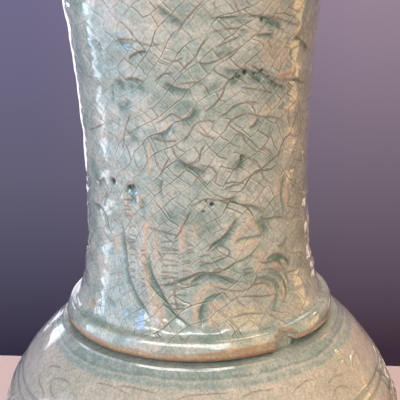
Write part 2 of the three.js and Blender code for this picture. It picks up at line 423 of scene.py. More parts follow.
FRONT_CUTS = (
    # points, width, depth, lean, pool
    (((-39, 58), (-38, 50), (-37, 44), (-36, 38), (-34.5, 32), (-31.5, 27), (-28, 22.5), (-24.5, 18.5),
      (-21, 13.5)), 2.3, 0.65, -1, 0.95),
    (((-24.3, 45), (-23.3, 39), (-21, 33), (-18, 28.5), (-15.5, 24.5), (-12.5, 20), (-9, 16.8), (-5.5, 14.2),
      (-3.2, 12.4)), 2.6, 0.75, -1, 1.0),
    (((-19, 30.5), (-13, 32.2), (-8, 34), (-3, 36), (1, 37), (6, 36.6), (11, 37.4), (16, 39.6), (21, 41),
      (25.5, 43), (29, 45.6), (31, 48)), 1.6, 0.45, -1, 0.75),
    (((31, 48.5), (30.6, 50.4), (27, 50.6), (22, 50.8), (18.5, 50.2), (16.5, 48.8)), 1.5, 0.4, 1, 0.7),
    (((4.5, 48.5), (8, 50.3), (11, 52), (14, 54.4), (16.5, 57.5), (18, 61)), 3.0, 0.7, -1, 1.0),
    (((-4.5, 29.5), (-3, 33), (0.5, 35.7), (4.5, 36), (9, 35), (13.5, 33.3), (18.5, 30.8)),
     3.0, 0.4, -1, 1.0),
    (((0.6, 13.5), (-0.2, 17), (0.2, 20.5), (1.8, 23.8), (4.4, 25.8), (8, 26.7), (13, 27)),
     2.6, 0.35, -1, 0.85),
    (((33, 38.2), (36.5, 39.8), (40, 40), (44, 38.2), (47, 35.6), (49.3, 31.5)), 2.5, 0.6, -1, 0.95),
    (((26, 31.2), (31, 31), (35, 29), (37.8, 25.8), (38, 22), (36.4, 18.4), (33.6, 15.8)), 2.2, 0.5, -1, 0.7),
    (((33, 33.6), (38, 31.8), (42, 28.4), (43.6, 24), (42.4, 19.4), (40, 16.2)), 1.5, 0.35, -1, 0.5),
    (((39, 34.4), (43.6, 31.6), (46.2, 27.4), (46.8, 22.6)), 1.5, 0.35, -1, 0.5),
    (((46.6, 76.4), (44.9, 72.4), (44.2, 66.5), (44.6, 61.4), (46, 58)), 2.0, 0.55, 1, 0.65),
    (((50, 77), (52.2, 72), (53.6, 66.6)), 1.6, 0.4, 1, 0.5),
    (((-9.5, 87.4), (-5.5, 85.6), (-2, 84.2), (1.4, 82.8), (4.6, 80.6)), 3.0, 0.55, -1, 1.0),
    (((23.5, 88.2), (20.8, 87.4), (21, 85), (18.8, 83.2), (16.6, 81.4)), 2.6, 0.5, 1, 1.0),
    (((24.5, 99.6), (27.4, 100.8), (29.4, 103.8)), 2.4, 0.45, -1, 0.9),
    (((-6.6, 104.8), (-3.6, 105.2), (-1.2, 107), (0.2, 110.4)), 2.6, 0.5, -1, 0.9),
    (((-18.4, 98.2), (-14.6, 98.8), (-12.2, 100.4), (-10.8, 103.2)), 2.6, 0.5, -1, 0.85),
    (((-13, 121), (-9.4, 118.8), (-5.2, 117.6), (-1, 117.6)), 3.0, 0.55, -1, 0.95),
    (((19.6, 65.9), (23, 65.8), (27, 64.6), (31, 62.2), (34.6, 59.6)), 1.8, 0.45, -1, 0.7),
    (((10, 69.4), (14, 69.2), (19, 70.4)), 1.6, 0.35, -1, 0.6),
    (((-14.6, 152.6), (-10.4, 149.2), (-6, 146), (-3.6, 144.2)), 3.0, 0.5, -1, 0.85),
    (((27, 146.4), (31, 145.4), (35, 144), (39.6, 141.6)), 2.4, 0.55, -1, 0.95),
    (((26, 138.8), (30, 138.8), (35, 138.4)), 1.8, 0.45, -1, 0.9),
    (((12, 126), (17, 124.6), (22, 124.8), (27, 123), (31.4, 123.8)), 3.2, 0.5, -1, 0.85),
    (((-31, 121.4), (-27, 121.8), (-23, 120.6)), 2.6, 0.5, -1, 0.9),
    (((-37, 121), (-34, 119.8), (-31.6, 117)), 2.8, 0.45, -1, 0.8),
    (((-28, 130.6), (-24.6, 132.4), (-20, 134)), 1.8, 0.5, -1, 0.9),
    (((-36.5, 108.6), (-32.6, 109.4), (-29.8, 112.6)), 2.2, 0.4, -1, 0.7),
    (((24, 127), (29, 124), (34, 121), (41, 119), (50, 117.6), (61, 115)), 1.3, 0.35, -1, 0.6),
    (((-1, 150.6), (4, 147.4), (12, 146.4), (20, 147), (28, 146.4), (36, 145), (45, 142.2), (53, 141)),
     1.1, 0.3, -1, 0.5),
    (((41, 43), (45, 44), (48.5, 47)), 2.0, 0.35, -1, 0.6),
    (((30, 60), (32.6, 56.6), (33.6, 52)), 2.4, 0.4, 1, 0.65),
    (((48, 136.8), (52, 134.8), (57, 132.4), (62, 129)), 2.0, 0.45, -1, 0.75),
    (((40, 107), (43, 106.4), (44, 109)), 1.6, 0.4, 1, 0.6),
    (((-16.4, 71), (-16.6, 75), (-15.8, 79)), 2.4, 0.35, 1, 0.7),
    (((-54, 61), (-51.6, 66), (-49, 70)), 2.0, 0.4, -1, 0.7),
    (((-66, 61), (-60, 61.6), (-54.5, 60.6), (-50, 56), (-48.6, 50)), 2.6, 0.6, -1, 0.8),
    (((-58, 73), (-54, 73.6), (-50, 75.6)), 2.4, 0.5, -1, 0.8),
    (((-60, 16), (-55, 14.6), (-51, 17)), 2.6, 0.4, -1, 0.6),
    (((-48, 20.6), (-44, 19), (-40.6, 17)), 2.0, 0.4, -1, 0.6),
)

FRONT_RIDGES = (
    # points, width, rise, thin
    (((-22.4, 65), (-24.2, 58), (-25.7, 52), (-26.7, 46), (-26.7, 40), (-25.6, 34.5), (-23.6, 29),
      (-21, 23.4), (-18, 18), (-15, 13)), 2.1, 0.5, 0.95),
    (((-23.4, 27), (-20.4, 21.6), (-17.6, 16.4), (-16, 12.6)), 4.2, 0.3, 0.85),
    (((-18.8, 58), (-20.2, 52), (-20.4, 46), (-19.2, 40)), 1.8, 0.35, 0.75),
    (((-13, 31), (-11.6, 26), (-9.8, 20)), 1.2, 0.35, 0.3),
    (((-7.4, 60), (-7.8, 54), (-7.4, 49), (-6.6, 45)), 2.4, 0.35, 0.8),
    (((-2.2, 61), (-1.6, 57), (-0.6, 52)), 1.8, 0.3, 0.6),
    (((16.4, 48.6), (18, 52.6), (21.6, 54.6), (25, 56.6)), 2.4, 0.4, 0.85),
    (((25, 62), (25.2, 58), (28, 55), (31, 52)), 2.6, 0.35, 0.75),
    (((16, 44), (21, 46), (26, 47.6), (29.6, 48.6)), 3.0, 0.3, 0.75),
    (((-1.6, 13), (-2.4, 18), (-2, 23), (-0.4, 26.8), (3, 29.8), (7, 30.4), (12, 29.6)), 2.2, 0.3, 0.85),
    (((5.6, 13), (5, 17), (6, 21), (8.6, 24)), 3.6, 0.15, 0.9),
    (((29, 43), (29, 38.6), (30, 35)), 3.4, 0.3, 0.75),
    (((34, 36), (39, 35.4), (44, 31.8)), 2.6, 0.3, 0.7),
    (((40.4, 28), (41.4, 23), (40, 18)), 2.0, 0.35, 0.85),
    (((22, 28), (30, 27.6), (34, 24), (33.6, 19)), 3.4, 0.25, 0.6),
    (((47.4, 74), (47.4, 68), (48.4, 61)), 3.0, 0.45, 0.95),
    (((42.4, 77), (41.4, 73), (41, 66)), 2.2, 0.35, 0.85),
    (((51.6, 76), (53.6, 70), (55, 64)), 2.2, 0.3, 0.6),
    (((-37.4, 70.6), (-35.8, 66), (-33.8, 62.4), (-32, 59.4)), 1.9, 0.45, 0.85),
    (((-28.2, 72), (-27.8, 68.6), (-29, 64.8)), 1.6, 0.4, 0.75),
    (((24, 134.4), (28, 136.2), (33, 136.6), (36.6, 136)), 2.4, 0.5, 0.5),
    (((-12.4, 96), (-9.8, 100), (-8.6, 105)), 1.6, 0.4, 0.1),
    (((39, 104.6), (43, 104.8), (46, 107)), 1.6, 0.35, 0.4),
    (((-64, 12.4), (-58, 13.6), (-53, 12)), 2.6, 0.4, 0.8),
    (((-10, 80), (-11, 84)), 1.8, 0.35, 0.1),
    (((3, 18), (12, 17), (24, 18), (34, 20)), 8.0, 0.0, 0.5),
    (((4, 27), (14, 26.4), (26, 27), (36, 27)), 5.5, 0.0, 0.38),
    (((18, 12.6), (30, 12.4), (42, 13), (56, 12)), 4.0, 0.0, 0.45),
    (((29, 45), (30, 40), (29, 34)), 5.0, 0.1, 0.65),
    (((38, 42), (47, 39), (55, 35)), 6.0, 0.0, 0.4),
    (((4, 30), (0.6, 27), (-1.4, 21)), 3.0, 0.0, 0.5),
    (((24, 57), (25, 61)), 2.4, 0.0, 0.7),
    (((50, 101), (51, 95), (52, 90)), 4.5, 0.1, 0.4),
    (((38, 120.4), (45, 121), (51, 122.6)), 2.8, 0.3, 1.3),
    (((44, 104), (50, 104), (54, 99)), 3.5, 0.4, 0.6),
    (((28, 132.6), (38, 131), (47, 129)), 8.5, 0.0, 0.6),
    (((45, 138), (50, 138.4), (53, 143)), 3.2, 0.3, 0.7),
    (((26, 150.4), (40, 148.8), (54, 147)), 4.0, 0.0, 0.45),
    (((-22, 95), (-21.8, 88), (-22.4, 80)), 0.9, 0.0, 1.2),
    (((-43, 52), (-43.6, 47), (-42, 42)), 2.4, 0.35, 0.65),
    (((-12, 152), (-15, 148), (-13, 142)), 3.2, 0.1, 0.5),
    (((-9, 139), (-12.4, 132)), 2.6, 0.15, 0.35),
    (((32, 107), (38, 107.4)), 4.0, 0.0, 0.45),
    (((-29.5, 47), (-29.4, 38), (-28.2, 30)), 1.3, 0.3, 0.15),
    (((-41.6, 38), (-41.4, 33), (-42, 27)), 1.2, 0.35, 0.1),
    # Broad warm wash on the right: partly thinner glaze, partly painted warm light on that side
    (((64, 8), (63, 50), (64, 100), (65, 160)), 26.0, 0.0, 0.38),
)

FRONT_HOLLOWS = (
    # points, width, depth, pool
    (((1, 14), (2, 17.5), (3, 20.4)), 1.8, 0.2, 0.5),
    (((37.6, 24.6), (37.4, 21)), 2.2, 0.25, 0.6),
    (((35.4, 17.8), (36, 15.4)), 2.2, 0.25, 0.55),
    (((38, 38.6), (43, 37.6), (47, 35)), 2.3, 0.3, 1.1),
    (((30, 57), (33, 52.6)), 3.2, 0.2, 0.85),
    (((-8, 85.8), (-3, 84), (2.4, 83)), 3.2, 0.3, 0.85),
    (((17, 83.4), (21.4, 86.4)), 2.6, 0.35, 1.05),
    (((-33.6, 120.4), (-33.4, 117.8)), 3.0, 0.4, 1.05),
    (((-28, 118.4), (-23, 118.8)), 3.2, 0.35, 0.85),
    (((-38.4, 118), (-38.6, 115), (-39.2, 112)), 1.5, 0.3, 0.9),
    (((-35.4, 110), (-31, 111.2)), 2.4, 0.25, 0.7),
    (((-31, 98), (-28.6, 95.4)), 2.6, 0.3, 0.85),
    (((-31.8, 72), (-31.4, 68)), 3.0, 0.6, 1.0),
    (((-58, 74.6), (-55, 72)), 2.6, 0.25, 0.85),
    (((12.6, 134), (15.4, 131.6)), 2.6, 0.25, 0.7),
    (((18, 123.4), (17, 120.4)), 2.8, 0.15, 1.25),
    (((-32, 136.6), (-27, 135.8)), 2.4, 0.25, 0.8),
    (((31, 143.8), (35, 143), (38, 141.6)), 1.9, 0.45, 1.15),
    (((17, 144.8), (22.6, 144.4)), 2.0, 0.15, 0.6),
    (((12, 66.8), (17, 68.4)), 2.6, 0.15, 0.6),
    (((-36, 50), (-34, 47)), 3.4, 0.1, 0.35),
    (((-25, 62), (-26.4, 68)), 2.6, 0.15, 0.6),
    (((5.6, 116.6), (8.6, 118.6)), 2.6, 0.3, 0.85),
    (((10.6, 131.6), (14.6, 133.6)), 2.2, 0.25, 0.7),
    (((3, 55), (7, 58.6)), 4.0, 0.25, 0.5),
    (((-34, 72.4), (-31.4, 73.4)), 2.6, 0.9, 1.0),
    (((-30, 135.6), (-27, 136.4)), 2.6, 0.3, 0.7),
    (((-10, 110.6), (-3, 111.6)), 3.6, 0.2, 0.45),
    (((-12, 63), (-17, 60.6)), 3.4, 0.2, 0.45),
    (((3, 76.4), (5.6, 77.4)), 1.8, 0.2, 0.6),
    (((-16, 55), (-12, 57)), 3.0, 0.2, 0.4),
    (((-33, 16), (-27, 19)), 3.4, 0.3, 0.35),
    (((19, 95.4), (17, 93.6)), 1.8, 0.2, 0.5),
    (((-43, 133), (-46, 136)), 2.4, 0.4, 0.7),
    (((16, 120.6), (20, 121.6)), 2.6, 0.12, 1.1),
    (((26, 121.4), (29, 119.6)), 2.2, 0.2, 1.1),
    (((32, 119), (39, 116.6)), 1.8, 0.2, 0.9),
    (((-26, 88), (-24, 94)), 2.2, 0.2, 0.35),
    (((37, 117.6), (43, 115.2)), 2.0, 0.3, 0.6),
    (((-28, 98), (-26.6, 101)), 2.0, 0.25, 0.5),
    (((-42, 102), (-37, 103)), 3.0, 0.3, 0.5),
)

FRONT_PINHOLES = (
    # angle, height, size
    (-44, 75.2, 2.0), (6.6, 67.4, 1.5), (4.0, 69, 0.8), (2.6, 64.4, 0.8), (22, 123.6, 1.5), (28.8, 145, 1.3),
    (19.4, 122.2, 1.0), (30.2, 123.8, 1.1), (38.6, 116.6, 0.8), (-34, 73.6, 1.5), (20.6, 88.0, 0.7),
    (-31.6, 74.6, 1.0), (-8.8, 43.4, 0.4), (-20.4, 133, 0.7), (-43.4, 135.6, 0.8), (51.4, 117.6, 0.6),
    (16.6, 121.4, 0.8), (26.4, 122.8, 0.9), (33.8, 121.2, 0.8), (36, 118.6, 0.8), (42.2, 115.8, 0.7),
)

# Long cracks and fine knife lines on the front, traced one by one

FRONT_LINES = (
    ((-20, 30.4), (-13, 31.4), (-8, 33.2), (-3, 35.6), (1, 37.2), (7, 36.6), (12, 37)),
    ((8.6, 49.8), (11.4, 48.2), (14.4, 45.8), (13.4, 43.6), (9, 42), (5, 40.6)),
    ((4, 46), (6, 48.6), (9, 50.6)),
    ((-12, 51.4), (-9, 54.6), (-7, 58), (-4.6, 62.4), (-3, 66)),
    ((-24, 56.6), (-16, 55), (-9, 53.6)),
    ((5, 31), (12, 28.6), (20, 27), (24, 28.4), (27, 31), (27.6, 34.4)),
    ((13, 22.6), (16, 24.2), (21, 24.4), (29, 23), (36, 22.4)),
    ((12, 16), (21, 16.6), (29, 15.4)),
    ((28, 39.4), (33, 37.4), (39, 37.2), (43, 34), (45.4, 30), (45.8, 24)),
    ((27, 31.6), (33, 31.2), (37, 28.6), (39.4, 25), (40, 20)),
    ((29, 34.6), (35, 34.2), (40, 31.4), (43, 26.8), (43.4, 21)),
    ((25, 29), (31, 28.6), (35, 26)),
    ((45, 30), (50, 29), (56, 28)),
    ((10, 73), (16, 75), (20, 75.6), (24, 78), (30, 80), (35, 83), (40, 85.2), (46, 88)),
    ((21, 88), (26, 86), (29, 84), (31, 80.4), (33, 76.4), (38, 72.6)),
    ((31, 90.6), (35, 89), (38, 86)),
    ((10, 105.4), (14, 107.4), (17, 109.6), (23, 111), (30, 110)),
    ((13, 99), (15, 103), (18, 104.8), (24, 106), (31, 104), (38, 103), (45, 100)),
    ((-6, 95), (-3, 98.6), (0, 103), (5, 104.4), (10, 103.6)),
    ((0, 100.6), (4, 98), (9, 96.4)),
    ((-6, 84), (-3, 85.8), (1, 87.2), (2, 91), (4, 94)),
    ((2, 85), (7, 84), (9, 81), (8.4, 77)),
    ((-3, 66.6), (0, 68.4), (4, 70), (9, 69.2), (14, 69), (19, 70)),
    ((23, 65.4), (27, 64.8), (31, 63.4), (34.6, 61.4)),
    ((31, 60), (33, 57.8), (40, 57.4), (46, 56)),
    ((17, 98), (21, 96.8), (23, 93.6)),
    ((5, 147.4), (10, 146.6), (15, 146.4), (21, 147), (27, 146.2), (33, 146), (38, 144.6), (45, 142.4),
     (53, 140.6)),
    ((-7, 140), (-3.6, 145), (0, 149), (4.6, 153.6)),
    ((6, 140.4), (11, 141.4), (16, 142), (20, 141.2), (24, 140)),
    ((9, 134.6), (14, 136.6), (20, 139)),
    ((-6, 124.6), (-3, 127.6), (0.6, 131), (3, 135.4), (6.6, 139.6)),
    ((0, 129.6), (4, 128), (9, 129), (14, 131.4), (20, 135)),
    ((-7, 119.8), (0, 120.6), (4, 119.4)),
    ((4, 108), (9, 111.6), (12, 115.4), (13.4, 120)),
    ((24, 127), (28, 124.6), (33, 120.4), (38, 117.6), (44, 115)),
    ((20, 117.6), (26, 116.4), (32, 115), (37, 113.4)),
    ((41, 119.8), (46, 118.6), (52, 117.6), (61, 115)),
    ((48, 137), (53, 134.8), (58, 132.6), (62, 130)),
    ((-28.4, 129), (-26.6, 131.2), (-23.6, 132.8), (-19.6, 133.4)),
    ((-35, 136.6), (-31, 138), (-25, 137.6), (-18, 135.8), (-12.6, 136.6)),
    ((-30, 121.4), (-26, 122.2), (-22, 120.4)),
    ((-18, 103), (-14, 105), (-10, 107.4), (-6, 105)),
    ((-20, 97), (-14, 95.8), (-8, 96)),
    ((-30, 106.6), (-33, 101), (-35, 95), (-36, 90)),
    ((-46, 101), (-53, 98.6), (-61, 96)),
    ((-12, 89), (-15, 84), (-17, 80)),
    ((-11, 94), (-9, 89), (-5, 86)),
    ((-52, 67), (-54.6, 63), (-57, 60)),
    ((-11.6, 30), (-11, 25), (-9.8, 21)),
    ((-8.6, 124.6), (-13, 124), (-17, 121)),
    ((-13, 131), (-8, 129.4), (-4, 131)),
    ((16, 153), (18, 149), (19.6, 147)),
    ((8, 153), (9, 149.4)),
)

SHOULDER_LINES = (
    ((-61, -15), (-59, -12.5), (-55, -12)),
    ((-37, -11), (-32, -10.4), (-28, -10.8), (-23, -12)),
    ((-29, -10), (-24, -9.4), (-18, -9.7), (-14, -10.4)),
    ((-8, -11.4), (-3, -10.2), (3, -10), (9, -10.2)),
    ((12, -12), (17, -10.8), (23, -11.4)),
    ((30, -13.4), (35, -12), (39, -12.4)),
    ((-63.5, -17.6), (-62.9, -19.5), (-60.9, -20.9), (-58.1, -21.4), (-56, -22.3), (-54.5, -24)),
    ((-61.2, -15.1), (-60.4, -13.9), (-57.8, -12.7), (-54.8, -12.1)),
    ((-46, -14.6), (-48.3, -14.4), (-51.1, -14.6), (-53.6, -15.5), (-55, -16.7), (-55, -18.2), (-53.8, -19.6),
     (-51.9, -20.7), (-49.1, -21.3)),
    ((42.8, -16.1), (46.2, -15), (49.4, -15.3), (51.8, -16.2)),
    ((43.3, -20.9), (44.6, -19.2), (46.9, -18.8), (49.5, -19.9), (50.4, -21.3)),
)

SHOULDER_RIDGES = (
    ((66.6, -12.3), (65.4, -13.4), (62.5, -13.6), (60.3, -14.2), (58.8, -15), (56.7, -16.5)),
    ((66.3, -13.9), (64.7, -15.7), (63.2, -17.5)),
    ((57.3, -9.3), (54.3, -9.2)),
    ((55.5, -12.5), (54.4, -13.7)),
)

# Heights of the grooves all round that part the bands of carving

GROOVES = (-26.4, -30.6, -84, -88, -192, 157, 213)

# Rungs of short cracks across the strips between the carved stems

FRONT_LADDERS = (
    # from angle, to angle, from height, to height, rungs
    (-18, -9, 33, 53, 9), (-5.6, -2.2, 45, 61, 6), (-14, -6, 21, 33, 5), (-35, -31, 29, 58, 11),
    (-8, -3.6, 32, 45, 5), (-28, -25.4, 22, 48, 9), (0, 6, 40, 47, 3), (-37, -32, 60, 69, 5),
    (20, 26, 33, 39, 3),
)


def throwing_marks(surface):
    """Slow waves round the wall that the fingers leave, and the unevenness of a thick glaze."""
    turn = surface.angles[None, :]
    z = surface.levels[:, None]
    # The body is thrown a little off centre, to the left, and comes true again at its two ends
    surface.height -= 0.9 * np.sin(turn) * np.clip((SEAT - z) / 25, 0, 1) * np.clip((z - WAIST) / 60, 0, 1)
    surface.height += 0.10 * np.sin(z * 0.52 + 0.9 * np.sin(turn + 0.6)) + 0.025 * np.sin(z * 1.31 + 2 * turn)
    surface.height += 0.16 * np.sin(5 * turn + z * 0.045 + 1.3) * np.sin(z * 0.071 + 0.8)
    surface.height += 0.09 * np.sin(11 * turn - z * 0.13) * np.sin(z * 0.19 + 3 * turn + 0.4)
    surface.height += 0.06 * np.sin(29 * turn + z * 0.41) * np.sin(z * 0.83 - 7 * turn)
    surface.height += 0.22 * np.sin(z * 0.31 + 3 * turn) * np.sin(4 * turn + 0.7 + z * 0.05)


def rungs(start, stop, low, high, count):
    """Short uneven lines across a strip, one above another."""
    for i in range(count):
        z = low + (high - low) * (i + 0.35 * math.sin(5.1 * i + start)) / count
        lean = 0.9 * math.sin(2.3 * i + low)
        yield [(start, z), (0.5 * (start + stop), z + 0.3 + 0.5 * lean), (stop, z + lean)]


def carve(surface):
    """All the carving that reaches this section."""
    throwing_marks(surface)
    for stroke in FRONT_RIDGES:
        surface.ridge(*stroke)
    for stroke in FRONT_HOLLOWS:
        surface.hollow(*stroke)
    for points, width, depth, lean, pool in FRONT_CUTS:
        surface.cut(points, width, CUT_SHARE * depth, lean, pool)
    for points in FRONT_LINES:
        surface.score(points, 0.7, 0.08, 1.0)
    for ladder in FRONT_LADDERS:
        for points in rungs(*ladder):
            surface.score(points, 0.7, 0.05, 0.8)
    for hole in FRONT_PINHOLES:
        surface.pinhole(*hole)
    for points in SHOULDER_LINES:
        surface.score(points, 0.75, 0.14, 0.6)
    for points in SHOULDER_RIDGES:
        surface.ridge(points, 1.3, 0.5, 0.6)

    # Vines in two tiers on the neck's sides and back, and one all round the shoulder
    for tier, z in enumerate((40, 106)):
        vine(surface, 72 + 18 * tier, z, 6 - tier, 36, 12, 14)
    vine(surface, 4, -57, 12, 30, 14, 16)

    # Long petals with short ones between them on the lower body, and petals on the mouth
    for turn in range(0, 360, 24):
        petal(surface, turn, -186, 74, 10.5)
        petal(surface, turn + 12, -196, 40, 6)
    for turn in range(0, 360, 30):
        petal(surface, turn + 15, 160, 44, 11)

    for z in GROOVES:
        ring = [(turn, z) for turn in range(-182, 184, 4)]
        surface.score(ring, 1.6, 0.35, 0.2, 0.001)
        surface.hollow(ring, 1.6, 0.15, 0.4)


def vine(surface, start, z, bends, wide, sway, size):
    """A stem that winds round the wall, with a blossom held in each bend and two leaves off its back."""
    step = surface.degrees(1.0, z)
    for k in range(bends):
        up = -1 if k % 2 else 1
        arc = [(start + wide * (k + i / 6), z + up * sway * math.sin(math.pi * i / 6)) for i in range(7)]
        surface.cut(arc, 2.4, 0.5, -up, 0.8, 0.04)
        surface.ridge([(turn, height + 1.4 * up) for turn, height in arc], 1.5, 0.35, 0.7, 0.05)
        middle = start + wide * (k + 0.5)
        blossom(surface, middle, z - 0.35 * up * sway, size)
        for side in (-1, 1):
            leaf(surface, middle + side * step * 2.5, z + up * (sway + 3.5), size, up * (90 - side * 65),
                 side * up * 30)


def leaf(surface, turn, z, length, heading, bend):
    """A pointed leaf: glaze pooled inside its outline, and a raised midrib."""
    step = surface.degrees(1.0, z)

    def place(share, aside):
        angle = math.radians(heading + bend * share)
        along = length * share
        return (turn + step * (along * math.cos(angle) - aside * math.sin(angle)),
                z + along * math.sin(angle) + aside * math.cos(angle))

    for side in (-1, 1):
        half = side * 0.24 * length
        edge = [place(share, half * math.sin(math.pi * share)) for share in (0, 0.25, 0.5, 0.8, 1)]
        surface.cut(edge, 0.2 * length, 0.4, -side, 0.75, 0.05)
    surface.ridge([place(0.1, 0), place(0.5, 0), place(0.85, 0)], 1.1, 0.25, 0.6)


def blossom(surface, turn, z, size):
    """A peony seen from above: two rings of rounded petals about a round heart."""
    step = surface.degrees(1.0, z)

    def ring(radius, lobes, turned=0.0):
        points = []
        for i in range(61):
            bend = math.radians(6 * i)
            r = radius * (0.76 + 0.24 * abs(math.cos(0.5 * lobes * bend + turned)))
            points.append((turn + step * r * math.cos(bend), z + r * math.sin(bend)))
        return points

    surface.ridge(ring(1.14 * size, 8), 1.3, 0.25, 0.55, 0.001)
    surface.cut(ring(size, 8), 0.22 * size, 0.6, 1, 0.95, 0.001)
    surface.cut(ring(0.64 * size, 6, 0.9), 0.2 * size, 0.5, 1, 0.85, 0.001)
    surface.cut(ring(0.26 * size, 2), 1.5, 0.45, -1, 0.9, 0.001)


def petal(surface, turn, z, height, spread):
    """An upright pointed petal: a raised border with the glaze pooled inside it, and a midrib."""
    top = (turn, z + height)
    for side in (-1, 1):
        edge = [(turn + side * spread * 0.8, z), (turn + side * spread, z + 0.4 * height),
                (turn + side * spread * 0.72, z + 0.78 * height), top]
        inner = [(turn + (t - turn) * 0.72, z + (h - z) * 0.9) for t, h in edge]
        surface.ridge(edge, 1.7, 0.45, 0.75, 0.06)
        surface.cut(inner, 2.4, 0.5, side, 0.8, 0.08)
    surface.ridge([(turn, z), (turn, z + 0.7 * height)], 1.5, 0.35, 0.6)


def ring_angles(count, crowd=0.5):
    """Angles round the vase from -180 to 180 degrees, closer together towards the front."""
    t = -np.pi + 2 * np.pi * np.arange(count) / count
    return t - crowd * np.sin(t)


def turned_piece(name, node, surface, rest, material, clay=None):
    """A closed skin: the surface's rows, then the rest of the section, all the way round.

    The rest runs from the top of the surface, along the inside, to its foot. A third value in one of its
    rows pools the glaze there, or thins it when negative.
    """
    angles = surface.angles
    count = len(angles)
    behind = np.array([(*row, 0.0)[:3] for row in rest], float)
    radii = np.vstack([surface.radii[:, None] + surface.height, np.repeat(behind[:, :1], count, 1)])
    levels = np.vstack([np.repeat(surface.levels[:, None], count, 1), np.repeat(behind[:, 1:2], count, 1)])
    points = np.stack([radii * np.sin(angles), -radii * np.cos(angles), levels], -1).reshape(-1, 3) * MM
    rows = len(radii)
    row, column = np.meshgrid(np.arange(rows), np.arange(count), indexing="ij")
    below = row * count
    above = ((row + 1) % rows) * count
    right = (column + 1) % count
    quads = np.stack([below + column, below + right, above + right, above + column], -1).reshape(-1, 4)
    mesh = bpy.data.meshes.new(name)
    mesh.vertices.add(len(points))
    mesh.vertices.foreach_set("co", points.ravel())
    mesh.loops.add(quads.size)
    mesh.loops.foreach_set("vertex_index", quads.ravel().astype(np.int32))
    mesh.polygons.add(len(quads))
    mesh.polygons.foreach_set("loop_start", np.arange(0, quads.size, 4, dtype=np.int32))
    mesh.update(calc_edges=True)
    wet = np.repeat(behind[:, 2:], count, 1)
    dry = np.zeros_like(wet)
    for label, values, tail in (("pool", surface.pool, np.clip(wet, 0, None)),
                                ("thin", surface.thin, np.clip(-wet, 0, None)),
                                ("pit", surface.pit, dry), ("line", surface.line, dry)):
        layer = mesh.attributes.new(label, "FLOAT", "POINT")
        layer.data.foreach_set("value", np.vstack([values, tail]).ravel().astype(np.float32))
    mesh.shade_smooth()
    mesh.set_sharp_from_angle(angle=math.radians(50))
    mesh.materials.append(material)
    if clay:
        mesh.materials.append(clay)
        highest = np.maximum(levels, np.roll(levels, -1, 0)).max(1)
        bare = np.repeat(highest <= CLAY_TOP, count)
        mesh.polygons.foreach_set("material_index", bare.astype(np.int32))
    piece = bpy.data.objects.new(name, mesh)
    bpy.context.scene.collection.objects.link(piece)
    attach(piece, "root")
    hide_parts(node)


class Wiring:
    """Adds nodes to a tree, each call giving back the socket or sockets that carry its result."""

    def __init__(self, tree):
        self.nodes = tree.nodes
        self.links = tree.links

    def feed(self, socket, value):
        """Link a socket to another one, or set it to a number or a colour."""
        if isinstance(value, bpy.types.NodeSocket):
            self.links.new(value, socket)
        else:
            socket.default_value = value

    def wire(self, node, values):
        """Feed a node's sockets by name."""
        for label, value in values.items():
            self.feed(node.inputs[label], value)
        return node.outputs

    def calc(self, kind, *values, clamp=False):
        node = self.nodes.new("ShaderNodeMath")
        node.operation = kind
        node.use_clamp = clamp
        for socket, value in zip(node.inputs, values):
            self.feed(socket, value)
        return node.outputs[0]

    def times(self, value, *factors):
        """The product of the values."""
        for factor in factors:
            value = self.calc("MULTIPLY", value, factor)
        return value

    def times_plus(self, value, factor, more):
        """A value times a factor, with more added."""
        return self.calc("MULTIPLY_ADD", value, factor, more)

    def most(self, value, *others):
        """The greatest of the values."""
        for other in others:
            value = self.calc("MAXIMUM", value, other)
        return value

    def place(self):
        """Where a point of the piece is, in metres."""
        return self.nodes.new("ShaderNodeTexCoord").outputs["Object"]

    def split(self, kind, value):
        """The three parts of a place, with the kind XYZ, or of a colour, with the kind Color."""
        node = self.nodes.new("ShaderNodeSeparate" + kind)
        self.feed(node.inputs[0], value)
        return node.outputs

    def noise(self, vector, scale, detail, rough, output="Fac"):
        values = {"Vector": vector, "Scale": scale, "Detail": detail, "Roughness": rough}
        return self.wire(self.nodes.new("ShaderNodeTexNoise"), values)[output]

    def chance(self, value):
        """A random number from 0 to 1 that stays the same wherever the value does."""
        node = self.nodes.new("ShaderNodeTexWhiteNoise")
        node.noise_dimensions = "1D"
        return self.wire(node, {"W": value})["Value"]

    def ramp(self, value, low, high, start=0.0, stop=1.0, kind="SMOOTHSTEP"):
        """From start to stop while the value goes from low to high."""
        node = self.nodes.new("ShaderNodeMapRange")
        node.interpolation_type = kind
        values = {"Value": value, "From Min": low, "From Max": high, "To Min": start, "To Max": stop}
        return self.wire(node, values)["Result"]

    def tones(self, value, stops):
        """A colour that goes through the stops, each a position and a colour."""
        node = self.nodes.new("ShaderNodeValToRGB")
        elements = node.color_ramp.elements
        for position, _ in stops[1:-1]:
            elements.new(position)
        for element, (position, colour) in zip(elements, stops):
            element.position = position
            element.color = (*colour, 1.0)
        return self.wire(node, {"Fac": value})["Color"]

    def mix(self, share, a, b, blend="MIX"):
        node = self.nodes.new("ShaderNodeMix")
        node.data_type = "RGBA"
        node.blend_type = blend
        node.clamp_factor = True
        return self.wire(node, {"Factor": share, "A": a, "B": b})["Result"]

    def mask(self, label):
        node = self.nodes.new("ShaderNodeAttribute")
        node.attribute_name = label
        return node.outputs["Fac"]

    def bump(self, values):
        return self.wire(self.nodes.new("ShaderNodeBump"), values)["Normal"]

    def group(self, tree, values):
        """A node group in use, with its sockets fed by name."""
        node = self.nodes.new("ShaderNodeGroup")
        node.node_tree = tree
        return self.wire(node, values)


